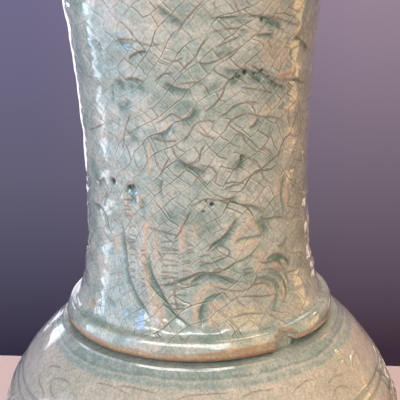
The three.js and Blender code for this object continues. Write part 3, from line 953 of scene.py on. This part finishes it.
def new_group(name, inputs, outputs):
    """An empty node group with named sockets, its wiring, and the sockets of its two end nodes.

    A number among the inputs makes a value socket and a colour makes a colour socket.
    """
    group = bpy.data.node_groups.new(name, "ShaderNodeTree")
    for label, value in inputs:
        colour = not isinstance(value, float)
        kind = "NodeSocketColor" if colour else "NodeSocketFloat"
        socket = group.interface.new_socket(name=label, in_out="INPUT", socket_type=kind)
        socket.default_value = (*value, 1.0) if colour else value
    for label in outputs:
        kind = "NodeSocketColor" if label == "Color" else "NodeSocketFloat"
        group.interface.new_socket(name=label, in_out="OUTPUT", socket_type=kind)
    given = group.nodes.new("NodeGroupInput").outputs
    result = group.nodes.new("NodeGroupOutput").inputs
    return group, Wiring(group), given, result


def crackle_group():
    """Curved cracks round the wall and shorter ones that stop at them, three times over, each net finer."""
    name = "Crackle"
    if name in bpy.data.node_groups:
        return bpy.data.node_groups[name]
    group, w, given, result = new_group(
        name,
        (("Long turns", -9.0), ("Long rise", 31.0), ("Cross turns", 9.5), ("Cross rise", 29.0), ("Bend", 1.3),
         ("Width", 0.26)),
        ("Crackle", "Rim highlight", "Fine rim highlight", "Groove"))
    place = w.place()
    x, y, z = w.split("XYZ", place)
    around = w.calc("DIVIDE", w.calc("ARCTAN2", x, w.times(y, -1.0)), 2 * math.pi)
    sway = w.split("Color", w.noise(place, 19.0, 2.0, 0.5, "Color"))
    jitter = w.split("Color", w.noise(place, 85.0, 2.0, 0.5, "Color"))
    half = w.times(given["Width"], MM)

    def family(turns, rise, push):
        """A value that rises by one from each crack to the next, and how fast it does so along the wall."""
        slant = w.times_plus(around, turns, w.times(z, rise))
        sideways = w.times(turns, TURNS_TO_A_METRE)
        steep = w.calc("SQRT", w.times_plus(rise, rise, w.times(sideways, sideways)))
        return w.times_plus(w.calc("SUBTRACT", push, 0.5), given["Bend"], slant), steep

    def lines(value, steep, widen):
        """Lines where a family's value is whole, of the given width on the wall."""
        thick = w.times(half, w.times(steep, widen))
        return w.ramp(w.calc("PINGPONG", value, 0.5), w.times(thick, 0.3), thick, 1.0, 0.0)

    along, along_steep = family(given["Long turns"], given["Long rise"], sway[0])
    across, across_steep = family(given["Cross turns"], given["Cross rise"], sway[1])

    def net(finer, wide, strength, least, seed):
        """A net of cracks, as a function that draws it widened and shifted in metres.

        Finer is how many of its cracks there are to one of the widest net, and least is the strength of the
        weakest short crack.
        """
        wander = 0.15 * finer
        bands = w.times_plus(jitter[0], wander, w.times(along, finer))
        band = w.calc("FLOOR", bands)
        steps = w.times_plus(w.chance(w.calc("ADD", band, seed)), 7.3,
                             w.times_plus(jitter[1], wander, w.times(across, finer)))
        joint = w.chance(w.times_plus(w.calc("ROUND", steps), 1.71, w.times(band, 2.3)))
        short = w.ramp(joint, 0.1, 0.5, least, 1.0)
        long = w.ramp(jitter[2], 0.36, 0.5, max(least, 0.3), 1.0)
        slow, quick = w.times(along_steep, finer), w.times(across_steep, finer)

        def drawn(widen=1.0, shift=0.0):
            upper = lines(w.times_plus(slow, -shift, bands), slow, widen * wide)
            left = lines(w.times_plus(quick, shift, steps), quick, widen * wide)
            return w.times(w.most(w.times(upper, long), w.times(left, short)), strength)

        return drawn

    widest = net(1.0, 1.0, 1.0, 0.7, 0.0)
    middle = net(4.0, 0.85, 0.95, 0.3, 31.7)
    finest = net(8.0, 0.7, 0.75, 0.1, 57.1)
    patches = w.ramp(w.noise(place, 33.0, 2.0, 0.5), 0.42, 0.58, 0.12, 1.0)
    cracks = w.most(widest(), middle(), w.times(finest(), patches))

    # The stain is uneven and weaker low on the right, and weaker towards the left: partly stain, partly
    # painted sheen
    low_right = w.times(w.ramp(x, 0.0, 0.03), w.ramp(z, 0.315, 0.265))
    stain = w.times(w.ramp(w.noise(place, 48.0, 3.0, 0.6), 0.3, 0.58, 0.5, 1.0),
                    w.ramp(x, -0.048, -0.012, 0.3, 1.0), w.ramp(low_right, 0.0, 1.0, 1.0, 0.55))
    # Pale rims drawn shifted to one side of the cracks: painted highlights where their edges would catch the
    # light
    fine_rim_highlight = middle(1.3, 0.0006)
    w.feed(result["Crackle"], w.times(cracks, stain))
    w.feed(result["Rim highlight"], w.times(w.most(widest(1.3, 0.0006), fine_rim_highlight), stain))
    w.feed(result["Fine rim highlight"], fine_rim_highlight)
    w.feed(result["Groove"], w.most(widest(2.2), middle(2.2)))
    return group


def glaze_group():
    """The celadon's colour, with painted highlights and shade in it, its unevenness and relief, as values
    over the surface.
    """
    name = "Celadon glaze"
    if name in bpy.data.node_groups:
        return bpy.data.node_groups[name]
    settings = glaze()
    group, w, given, result = new_group(
        name,
        (("Crackle", 0.0), ("Rim highlight", 0.0), ("Fine rim highlight", 0.0), ("Groove", 0.0), ("Mottle", 1.0),
         ("Glaze", settings.body), ("Deep", settings.deep), ("Pale", settings.pale), ("Thin", settings.thin),
         ("Edge", settings.lip), ("Crack", settings.crack), ("Pit", settings.pit),
         ("Base roughness", settings.roughness)),
        ("Color", "Roughness", "Coat", "Height"))
    place = w.place()
    pool, thin, pit, line = w.mask("pool"), w.mask("thin"), w.mask("pit"), w.mask("line")

    cloud = w.noise(place, 24.0, 3.0, 0.55)
    mottle = w.noise(place, 105.0, 4.0, 0.6)
    fleck = w.noise(place, 340.0, 3.0, 0.6)
    speck = w.noise(place, 900.0, 2.0, 0.6)
    flecked = w.ramp(fleck, 0.3, 0.6, 0.6, 1.0)

    # Milky and green patches, with painted highlights beside the fine cracks, then the thin and the pooled
    # glaze of the carving
    pale = w.times_plus(w.ramp(mottle, 0.45, 0.66), w.times(given["Mottle"], 0.5),
                        w.ramp(cloud, 0.46, 0.68, 0.0, 0.36))
    colour = w.mix(w.times_plus(given["Fine rim highlight"], 0.22, pale), given["Glaze"], given["Pale"])
    green = w.times_plus(w.ramp(mottle, 0.52, 0.32), w.times(given["Mottle"], 0.34),
                         w.ramp(cloud, 0.5, 0.3, 0.0, 0.2))
    colour = w.mix(w.times(green, flecked), colour, given["Deep"])
    colour = w.mix(w.times(thin, w.ramp(fleck, 0.3, 0.62, 0.62, 1.0), 0.9), colour, given["Thin"])
    colour = w.mix(w.times(pool, w.ramp(fleck, 0.3, 0.65, 0.95, 0.72)), colour, given["Deep"])
    colour = w.mix(w.ramp(thin, 1.05, 1.6), colour, given["Edge"])

    # Grain, which the deepest pools drown in deep glaze and painted shade, then the cracks and the burst
    # bubbles
    grain = w.times(w.ramp(speck, 0.3, 0.7, 0.83, 1.16), w.ramp(fleck, 0.3, 0.7, 0.92, 1.07),
                    w.ramp(pool, 1.0, 2.0, 1.0, 0.25))
    shade = w.nodes.new("ShaderNodeCombineColor")
    for socket in shade.inputs:
        w.feed(socket, grain)
    colour = w.mix(1.0, colour, shade.outputs[0], "MULTIPLY")
    # Painted highlights beside the cracks, in the milky glaze's colour
    colour = w.mix(w.times(given["Rim highlight"], 0.34), colour, given["Pale"])
    stain = w.most(w.times(given["Crackle"], w.ramp(thin, 0.2, 0.8, 1.0, 0.45)), w.times(line, flecked))
    colour = w.mix(w.times(stain, 0.95), colour, given["Crack"])
    w.feed(result["Color"], w.mix(w.times(pit, 0.95), colour, given["Pit"]))

    rough = w.times_plus(stain, 0.22, w.times_plus(pit, 0.6, given["Base roughness"]))
    w.feed(result["Roughness"], w.calc("ADD", rough, w.ramp(mottle, 0.4, 0.75, 0.0, 0.1), clamp=True))
    w.feed(result["Coat"], w.calc("MULTIPLY_ADD", pit, -0.7, 0.7, clamp=True))

    ripple = w.noise(place, 85.0, 2.0, 0.5)
    dimple = w.noise(place, 190.0, 2.0, 0.5)
    height = w.times_plus(ripple, 0.85, w.times_plus(dimple, 0.25, w.times(fleck, 0.14)))
    w.feed(result["Height"], w.times_plus(given["Groove"], -0.42, height))
    return group


def new_material(name):
    """A material with its wiring and its shader."""
    material = bpy.data.materials.new(name)
    material.use_nodes = True
    return material, Wiring(material.node_tree), material.node_tree.nodes["Principled BSDF"]


def celadon(name="Celadon", craze=0.95, cracks=(-9.0, 31.0, 9.5, 29.0), mottle=1.0, tones=()):
    """Glossy celadon: the glaze and crackle groups feeding a clear dielectric surface."""
    if name in bpy.data.materials:
        return bpy.data.materials[name]
    material, w, shader = new_material(name)
    slants = zip(("Long turns", "Long rise", "Cross turns", "Cross rise"), cracks)
    crackle = w.group(crackle_group(), dict(slants))
    values = {label: w.times(crackle[label], craze) for label in ("Crackle", "Rim highlight", "Fine rim highlight", "Groove")}
    values["Mottle"] = mottle
    values.update((label, (*colour, 1.0)) for label, colour in tones)
    skin = w.group(glaze_group(), values)
    normal = w.bump({"Distance": 0.0006, "Strength": 0.6, "Height": skin["Height"]})
    w.wire(shader, {"Base Color": skin["Color"], "Roughness": skin["Roughness"], "Coat Weight": skin["Coat"],
                    "Coat Roughness": 0.05, "IOR": 1.55, "Normal": normal})
    return material


def body_celadon():
    """The same glaze on the body, where it has hardly crazed."""
    return celadon("Body celadon", 0.16, (-21.0, 34.0, 24.0, 38.0), 0.45,
                   tones=(("Glaze", (0.45, 0.475, 0.415)), ("Pale", (0.715, 0.65, 0.555)),
                          ("Deep", (0.072, 0.185, 0.172))))


def collar_celadon():
    """The glaze on the collar, greener on its face and browner where it has run off the lip."""
    return celadon("Collar celadon", 0.35,
                   tones=(("Glaze", (0.4, 0.45, 0.385)), ("Thin", (0.38, 0.24, 0.128))))


def bare_clay():
    """Unglazed stoneware burnt orange in the kiln, for the foot's rim."""
    name = "Bare clay"
    if name in bpy.data.materials:
        return bpy.data.materials[name]
    material, w, shader = new_material(name)
    grain = w.noise(w.place(), 300.0, 5.0, 0.5)
    dark, light = (tuple(share * part for part in glaze().clay) for share in (0.6, 1.35))
    w.wire(shader, {"Base Color": w.tones(grain, ((0.0, dark), (1.0, light))), "Roughness": 0.85,
                    "Normal": w.bump({"Distance": 0.0005, "Height": grain})})
    return material


class VASE_OT_foot(bpy.types.Operator):
    """Turn the foot, with its ledge inside and the bare rim that it stands on"""

    bl_idname = "vase.foot"
    bl_label = "Foot"

    def execute(self, context):
        settings = form()
        columns, rows = FOOT_GRID
        levels = np.concatenate([[RIM_BEVEL, 3.0, 4.5], np.linspace(6, WAIST, rows)])
        surface = Surface(ring_angles(columns), levels, foot_outline)
        throwing_marks(surface)
        z = levels[:, None]
        surface.height *= np.clip((z - RIM_BEVEL) / 6, 0, 1) * np.clip((WAIST - z) / 3, 0, 1)
        joint = settings.waist_radius - settings.foot_wall / 2 + HALF_GAP
        well = FOOT_R - settings.foot_wall
        rest = [
            (joint, WAIST), (joint, LEDGE_TOP), (LEDGE_BORE_R, LEDGE_TOP), (LEDGE_BORE_R, LEDGE_UNDER),
            (LEDGE_ROOT_R, LEDGE_UNDER), (well, CLAY_TOP), (well, 0), (FOOT_R - RIM_BEVEL, 0),
        ]
        turned_piece("foot", "foot_ring", surface, rest, body_celadon(), bare_clay())
        return {"FINISHED"}


class VASE_OT_saucer(bpy.types.Operator):
    """Finish the dished base that is dropped on to the ledge"""

    bl_idname = "vase.saucer"
    bl_label = "Base saucer"

    def execute(self, context):
        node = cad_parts["base_saucer"]
        node.data.materials.clear()
        node.data.materials.append(celadon())
        return {"FINISHED"}


class VASE_OT_lower_body(bpy.types.Operator):
    """Turn the lower body from the waist to the belly"""

    bl_idname = "vase.lower_body"
    bl_label = "Lower body"

    def execute(self, context):
        settings = form()
        columns, rows = BODY_GRID
        surface = Surface(ring_angles(columns, 0.1), np.linspace(WAIST, BELLY, rows), body_outline)
        carve(surface)
        joint = BELLY_R - settings.body_wall / 2 + HALF_GAP
        spigot = settings.waist_radius - settings.foot_wall / 2 - HALF_GAP
        rest = [
            (joint, BELLY), (joint, BELLY - SPIGOT),
            *inner_rows(body_outline, settings.body_wall, BELLY - SPIGOT, WAIST + SPIGOT, 24),
            (BODY_FOOT_R, BODY_FOOT_TOP), (BODY_FOOT_R, LEDGE_TOP), (spigot, LEDGE_TOP), (spigot, WAIST),
        ]
        turned_piece("lower_body_skin", "lower_body", surface, rest, body_celadon())
        return {"FINISHED"}


class VASE_OT_shoulder(bpy.types.Operator):
    """Turn the shoulder from the belly to the seat of the neck"""

    bl_idname = "vase.shoulder"
    bl_label = "Shoulder"

    def execute(self, context):
        settings = form()
        columns, rows = SHOULDER_GRID
        share = np.linspace(0, 1, rows)
        levels = BELLY + (SEAT - BELLY) * (1 - (1 - share) ** 1.35)
        surface = Surface(ring_angles(columns, 0.36), levels, shoulder_outline)
        carve(surface)

        # Below the seat: green, then pale in a thin line, then green again and thin further down
        # The first green, close under the collar, is pooled glaze with painted shade and a painted bluish
        # reflection in it
        below = SEAT - levels[:, None] + surface.height * 3
        green = np.clip((4.0 - below) / 0.5, 0, 1) * 0.42 + 0.34 * np.exp(-((below - 5.6) / 1.25) ** 4)
        surface.pool = np.maximum(surface.pool, green + 0.25 * bell(below - 3.2, 0.5))
        pale = 0.3 * bell(below - 4.1, 0.3) + 0.45 * np.clip((below - 6.9) / 0.5, 0, 1)
        surface.thin = np.maximum(surface.thin, pale * np.clip((levels[:, None] - BELLY) / 30, 0.35, 1))

        spigot = BELLY_R - settings.body_wall / 2 - HALF_GAP
        foot = BELLY - SPIGOT
        # The seat, darker the further it is under the collar, as pooled glaze and painted shade, then the
        # inside
        rest = [
            (69.2, SEAT, 0.36), (67.5, SEAT, 0.4), (63.0, SEAT, 0.6), (OPENING_R, SEAT),
            (OPENING_R, SEAT - SPIGOT),
            *inner_rows(shoulder_outline, settings.body_wall, SEAT - SPIGOT - 4, BELLY, 20),
            (inner_side(body_outline, settings.body_wall, foot), foot), (spigot, foot), (spigot, BELLY),
        ]
        turned_piece("shoulder_skin", "shoulder", surface, rest, body_celadon())
        return {"FINISHED"}


class VASE_OT_neck(bpy.types.Operator):
    """Turn and carve the neck"""

    bl_idname = "vase.neck"
    bl_label = "Neck"

    def execute(self, context):
        settings = form()
        columns, rows = NECK_GRID
        share = np.linspace(0, 1, rows)
        levels = COLLAR_TOP + (NECK_TOP - COLLAR_TOP) * (0.9 * share + 0.1 * share ** 2)
        surface = Surface(ring_angles(columns), levels, neck_outline)
        carve(surface)

        # An uneven fillet of clay and glaze where the neck rises out of the collar
        above = levels[:, None] - COLLAR_TOP
        turn = surface.angles[None, :]
        sway = (0.7 * np.sin(9 * turn + 1.9) + 0.35 * np.sin(23 * turn)) * np.clip(above / 1.2, 0, 1)
        surface.height += 0.95 * np.exp(-np.clip(above + sway, 0, None) / 0.8)
        surface.height += 0.05 * np.exp(-above / 0.4)
        surface.pool = np.maximum(surface.pool, 0.4 * bell(above - 0.1, 0.6))

        bore = settings.neck_waist_radius - settings.neck_wall
        joint = settings.neck_top_radius - settings.neck_wall / 2 + HALF_GAP
        spigot = OPENING_R - GAP
        rest = [
            (joint, NECK_TOP), (joint, NECK_TOP - SPIGOT), (bore + 3, NECK_TOP - SPIGOT),
            (bore + 0.6, NECK_TOP - 40), (bore, SEAT + settings.neck_waist_height), (bore, SEAT - SPIGOT),
            (spigot, SEAT - SPIGOT), (spigot, SEAT), (REBATE_R, SEAT), (REBATE_R, COLLAR_TOP),
        ]
        turned_piece("neck_skin", "neck", surface, rest, celadon())
        return {"FINISHED"}


def glaze_collar(surface, rise):
    """A bare brown band along the lip, with painted shade at its foot and glaze pooled below and above it."""
    turn = surface.angles[None, :]
    degrees = np.degrees(turn)
    band_top = 5.9 + 1.7 * np.clip((degrees + 8) / 20, 0, 1) * np.clip((38 - degrees) / 5, 0, 1)
    bare = np.clip((band_top - rise) / 1.3, 0, 1) * np.clip((rise - 0.9) / 0.6, 0, 1)
    worn = 0.1 * np.sin(5 * turn) + 0.06 * np.sin(23 * turn)
    # Towards the band's foot the brown turns to the dark edge colour: painted shade under the lip's roll
    surface.thin = bare * (0.92 + worn + 0.75 * np.clip((4.2 - rise) / 2.4, 0, 1))
    # Glaze pooled in the undercut below the lip, partly painted shade of the overhang, and in the crease
    # above
    surface.pool = np.maximum(1.1 * np.clip((1.5 - rise) / 0.6, 0, 1), 0.4 * bell(rise - 10.5, 0.6))


def bite_collar(surface, height, rise):
    """A rough arch broken out of the lip, with a worn edge and a gritty floor."""
    turn = surface.angles[None, :]
    across = (turn - math.radians(BITE_TURN)) * COLLAR_R
    across = np.where(across < 0, across, across * 0.9) + 0.45 * np.sin(1.5 * height + 1)
    up = np.clip(height + 0.4 * np.sin(60 * turn), 0, None)
    arch = 1 - np.cbrt(np.abs(across / BITE_HALF) ** 3 + (up / BITE_HEIGHT) ** 3)
    bite = np.clip(arch / 0.12, 0, 1)
    bite = bite * bite * (3 - 2 * bite)
    grit = np.sin(170 * turn + 9 * rise) * np.sin(7.1 * rise + 40 * turn)
    floor = np.minimum(BITE_FLOOR_R - surface.radii[:, None], 0) + 0.22 * grit
    surface.height = surface.height * (1 - bite) + floor * bite
    edge = (1.2 + 0.3 * np.sin(3.0 * rise + 40 * turn)) * bell(arch + 0.07, 0.08)
    surface.thin = np.maximum(surface.thin * (1 - bite), edge)
    surface.thin = np.maximum(surface.thin, 0.6 * np.clip(grit, 0, 1) * bite)
    surface.pool = np.maximum(surface.pool * (1 - bite), 0.15 * bite)


class VASE_OT_collar(bpy.types.Operator):
    """Model the collar strip with the bite out of its lip"""

    bl_idname = "vase.collar"
    bl_label = "Collar"

    def execute(self, context):
        columns, rows = COLLAR_GRID
        top = COLLAR_TOP - SEAT
        levels = SEAT + np.linspace(0, top, rows)
        surface = Surface(ring_angles(columns), levels, collar_outline)
        turn = surface.angles[None, :]
        height = levels[:, None] - SEAT

        # Right of the bite the lip starts higher, and comes down again further round
        past = np.degrees(turn) - LIFT_TURN
        lift = 2.4 * np.clip(past / 3, 0, 1) * np.clip((32 - past) / 26, 0, 1)
        rise = np.clip(top - (top - height) * top / (top - lift), 0, None)
        wave = 0.3 * np.sin(3 * turn + 0.4) + 0.18 * np.sin(8 * turn + 1.0) + 0.12 * np.sin(17 * turn)
        surface.height += collar_outline(SEAT + rise) - surface.radii[:, None] + wave * bell(height - 4, 3.0)
        glaze_collar(surface, rise)
        bite_collar(surface, height, rise)
        inner = REBATE_R + GAP
        rest = [(inner, COLLAR_TOP), (inner, SEAT)]
        turned_piece("collar", "collar_strip", surface, rest, collar_celadon())
        return {"FINISHED"}


class VASE_OT_mouth(bpy.types.Operator):
    """Turn the trumpet mouth with its rounded lip"""

    bl_idname = "vase.mouth"
    bl_label = "Mouth"

    def execute(self, context):
        settings = form()
        base = MOUTH - settings.lip_round
        columns, rows = MOUTH_GRID
        share = np.linspace(0, 1, rows)
        levels = NECK_TOP + (base - NECK_TOP) * (1 - (1 - share) ** 1.3)
        surface = Surface(ring_angles(columns, 0.2), levels, mouth_outline)
        carve(surface)
        surface.thin = np.maximum(surface.thin, 1.2 * bell(levels[-1] - levels[:, None], 1.8))

        # The lip is half an ellipse over the wall, and the glaze has run off it
        top = base - 0.02
        lip_inner = inner_side(mouth_outline, settings.mouth_wall, top)
        middle = 0.5 * (lip_inner + MOUTH_R)
        half = 0.5 * (MOUTH_R - lip_inner)
        lip = [(middle + half * math.cos(a), base + settings.lip_round * math.sin(a), -1.2)
               for a in np.linspace(0, math.pi, 14)[1:-1]]
        joint = settings.neck_top_radius - settings.neck_wall / 2 - HALF_GAP
        foot = NECK_TOP - SPIGOT
        rest = [
            *lip, *inner_rows(mouth_outline, settings.mouth_wall, top, NECK_TOP, 44),
            (inner_side(neck_outline, settings.neck_wall, foot), foot), (joint, foot), (joint, NECK_TOP),
        ]
        turned_piece("mouth_skin", "mouth_trumpet", surface, rest, celadon())
        return {"FINISHED"}


def floor_material():
    """Pale matt table top."""
    material, w, shader = new_material("Floor")
    w.wire(shader, {"Base Color": (0.67, 0.525, 0.53, 1.0), "Roughness": 0.8})
    return material


def glowing_backdrop_material():
    """Glowing mauve-grey wall, with painted light: darker towards the table's edge and warmer on the right.
    """
    material, w, shader = new_material("Backdrop")
    w.nodes.remove(shader)
    x, _, z = w.split("XYZ", w.place())
    height = w.ramp(z, -0.9, 0.3, kind="LINEAR")
    left = w.tones(height, ((0.0, (0.030, 0.024, 0.050)), (0.55, (0.128, 0.117, 0.184)),
                            (1.0, (0.168, 0.152, 0.260))))
    right = w.tones(height, ((0.0, (0.048, 0.026, 0.042)), (0.55, (0.182, 0.140, 0.186)),
                             (1.0, (0.318, 0.240, 0.310))))
    colour = w.mix(w.ramp(x, -0.5, 0.5, kind="LINEAR"), left, right)
    # The wall glows on its own, with its light and shade painted in
    glow = w.wire(w.nodes.new("ShaderNodeEmission"), {"Color": colour})["Emission"]
    w.feed(w.nodes["Material Output"].inputs["Surface"], glow)
    return material


# How far the table and the wall reach to the sides and upwards, and the wall's lower edge, in metres
SHEET_REACH = 4.0
WALL_FOOT = -2.0

# Soft lamps: name, azimuth from the front towards the right and elevation in degrees, distance, width and
# height in metres, radiance, colour, and the level on the vase's axis that it faces
LAMPS = (
    ("front_panel", -14, 31, 1.30, (1.75, 0.34), 7.8, (1.0, 0.985, 0.975), 0.24),
    ("left_strip", -100, -3, 0.95, (0.13, 0.36), 3.7, (0.86, 0.93, 1.0), 0.27),
    ("left_blue", -103, 0, 0.92, (0.07, 0.08), 8.0, (0.25, 0.5, 1.0), 0.21),
    ("left_glint", -56.7, 0, 1.3, (0.34, 0.24), 7.0, (0.1, 0.36, 1.0), 0.678),
    ("left_shoulder", -137, 8, 1.2, (0.22, 0.2), 3.4, (0.9, 0.92, 1.0), 0.24),
    ("left_edge", -162, 2, 1.15, (0.5, 0.7), 1.7, (0.95, 0.92, 1.0), 0.33),
    ("left_sheen", -74, 0, 1.3, (1.2, 1.0), 1.62, (0.5, 0.7, 1.0), 0.33),
    ("right_strip", 106, -2, 0.95, (0.22, 0.22), 2.7, (1.0, 0.58, 0.25), 0.27),
    ("right_edge", 144, 0, 1.6, (0.3, 0.09), 1.4, (1.0, 0.8, 0.6), -0.22),
    ("right_fill", 38, 18, 1.3, (0.8, 0.7), 1.6, (1.0, 0.6, 0.09), 0.28),
    ("right_glint", 121, 24, 1.1, (0.07, 0.09), 24.0, (1.0, 0.85, 0.68), 0.3),
    ("right_top", 84, 74, 1.2, (0.5, 0.5), 11.0, (1.0, 0.70, 0.43), 0.18),
    ("back_fill", 172, 44, 1.5, (0.9, 0.6), 2.6, (1.0, 0.97, 0.92), 0.28),
)


def lamp(name, azimuth, elevation, distance, size, radiance, colour, aim):
    """A rectangular soft lamp that faces the vase's axis."""
    turn, rise = math.radians(azimuth), math.radians(elevation)
    back = Vector((math.sin(turn) * math.cos(rise), -math.cos(turn) * math.cos(rise), math.sin(rise)))
    data = bpy.data.lights.new(name, "AREA")
    data.shape = "RECTANGLE"
    data.size, data.size_y = size
    data.energy = radiance * math.pi * size[0] * size[1]
    data.color = colour
    item = bpy.data.objects.new(name, data)
    item.location = Vector((0, 0, aim)) + distance * back
    item.rotation_euler = back.to_track_quat("Z", "Y").to_euler()
    bpy.context.scene.collection.objects.link(item)


def flat_sheet(name, corners, material):
    mesh = bpy.data.meshes.new(name)
    mesh.from_pydata(corners, [], [(0, 1, 2, 3)])
    mesh.materials.append(material)
    item = bpy.data.objects.new(name, mesh)
    bpy.context.scene.collection.objects.link(item)


class VASE_OT_stage(bpy.types.Operator):
    """Set up the camera, lamps, table top and backdrop"""

    bl_idname = "vase.stage"
    bl_label = "Stage"

    def execute(self, context):
        settings = studio()
        scene = context.scene
        data = bpy.data.cameras.new("camera")
        data.lens = settings.lens
        data.clip_start = 0.01
        camera = bpy.data.objects.new("camera", data)
        camera.location = (0, -settings.camera_back, settings.camera_height)
        level_view = Euler((math.pi / 2 - settings.pitch, 0, settings.yaw)).to_matrix()
        camera.rotation_euler = (level_view @ Matrix.Rotation(settings.roll, 3, "Z")).to_euler()
        scene.collection.objects.link(camera)
        scene.camera = camera
        scene.view_settings.view_transform = "Standard"

        far = SHEET_REACH
        wall = settings.wall_back
        edge = settings.table_edge
        skew = far * settings.table_skew
        flat_sheet("floor", [(-far, -far, 0), (far, -far, 0), (far, edge - skew, 0), (-far, edge + skew, 0)],
                   floor_material())
        flat_sheet("backdrop", [(-far, wall, WALL_FOOT), (far, wall, WALL_FOOT), (far, wall, far),
                                (-far, wall, far)], glowing_backdrop_material())

        world = bpy.data.worlds.new("world")
        world.use_nodes = True
        sky = world.node_tree.nodes["Background"].inputs
        sky["Color"].default_value = (0.62, 0.66, 0.72, 1)
        sky["Strength"].default_value = 0.18
        scene.world = world
        for values in LAMPS:
            lamp(*values)
        return {"FINISHED"}


class VASE_PT_panel(bpy.types.Panel):
    """Lists the pieces of the vase"""

    bl_label = "Celadon vase"
    bl_idname = "VASE_PT_panel"
    bl_space_type = "VIEW_3D"
    bl_region_type = "UI"
    bl_category = "Vase"

    def draw(self, context):
        for operator in OPERATORS:
            self.layout.operator(operator.bl_idname)


OPERATORS = (
    VASE_OT_stage, VASE_OT_foot, VASE_OT_saucer, VASE_OT_lower_body, VASE_OT_shoulder, VASE_OT_neck,
    VASE_OT_collar, VASE_OT_mouth,
)
SETTINGS = (("vase_form", FormSettings), ("vase_glaze", GlazeSettings), ("vase_studio", StudioSettings))
CLASSES = tuple(group for _, group in SETTINGS) + OPERATORS + (VASE_PT_panel,)


def register():
    for item in CLASSES:
        bpy.utils.register_class(item)
    for name, group in SETTINGS:
        setattr(bpy.types.Scene, name, bpy.props.PointerProperty(type=group))


def unregister():
    for name, _ in SETTINGS:
        delattr(bpy.types.Scene, name)
    for item in reversed(CLASSES):
        bpy.utils.unregister_class(item)


def main():
    register()
    bpy.ops.vase.stage()
    bpy.ops.vase.foot()
    bpy.ops.vase.saucer()
    bpy.ops.vase.lower_body()
    bpy.ops.vase.shoulder()
    bpy.ops.vase.neck()
    bpy.ops.vase.collar()
    bpy.ops.vase.mouth()


if __name__ == "__main__":
    main()
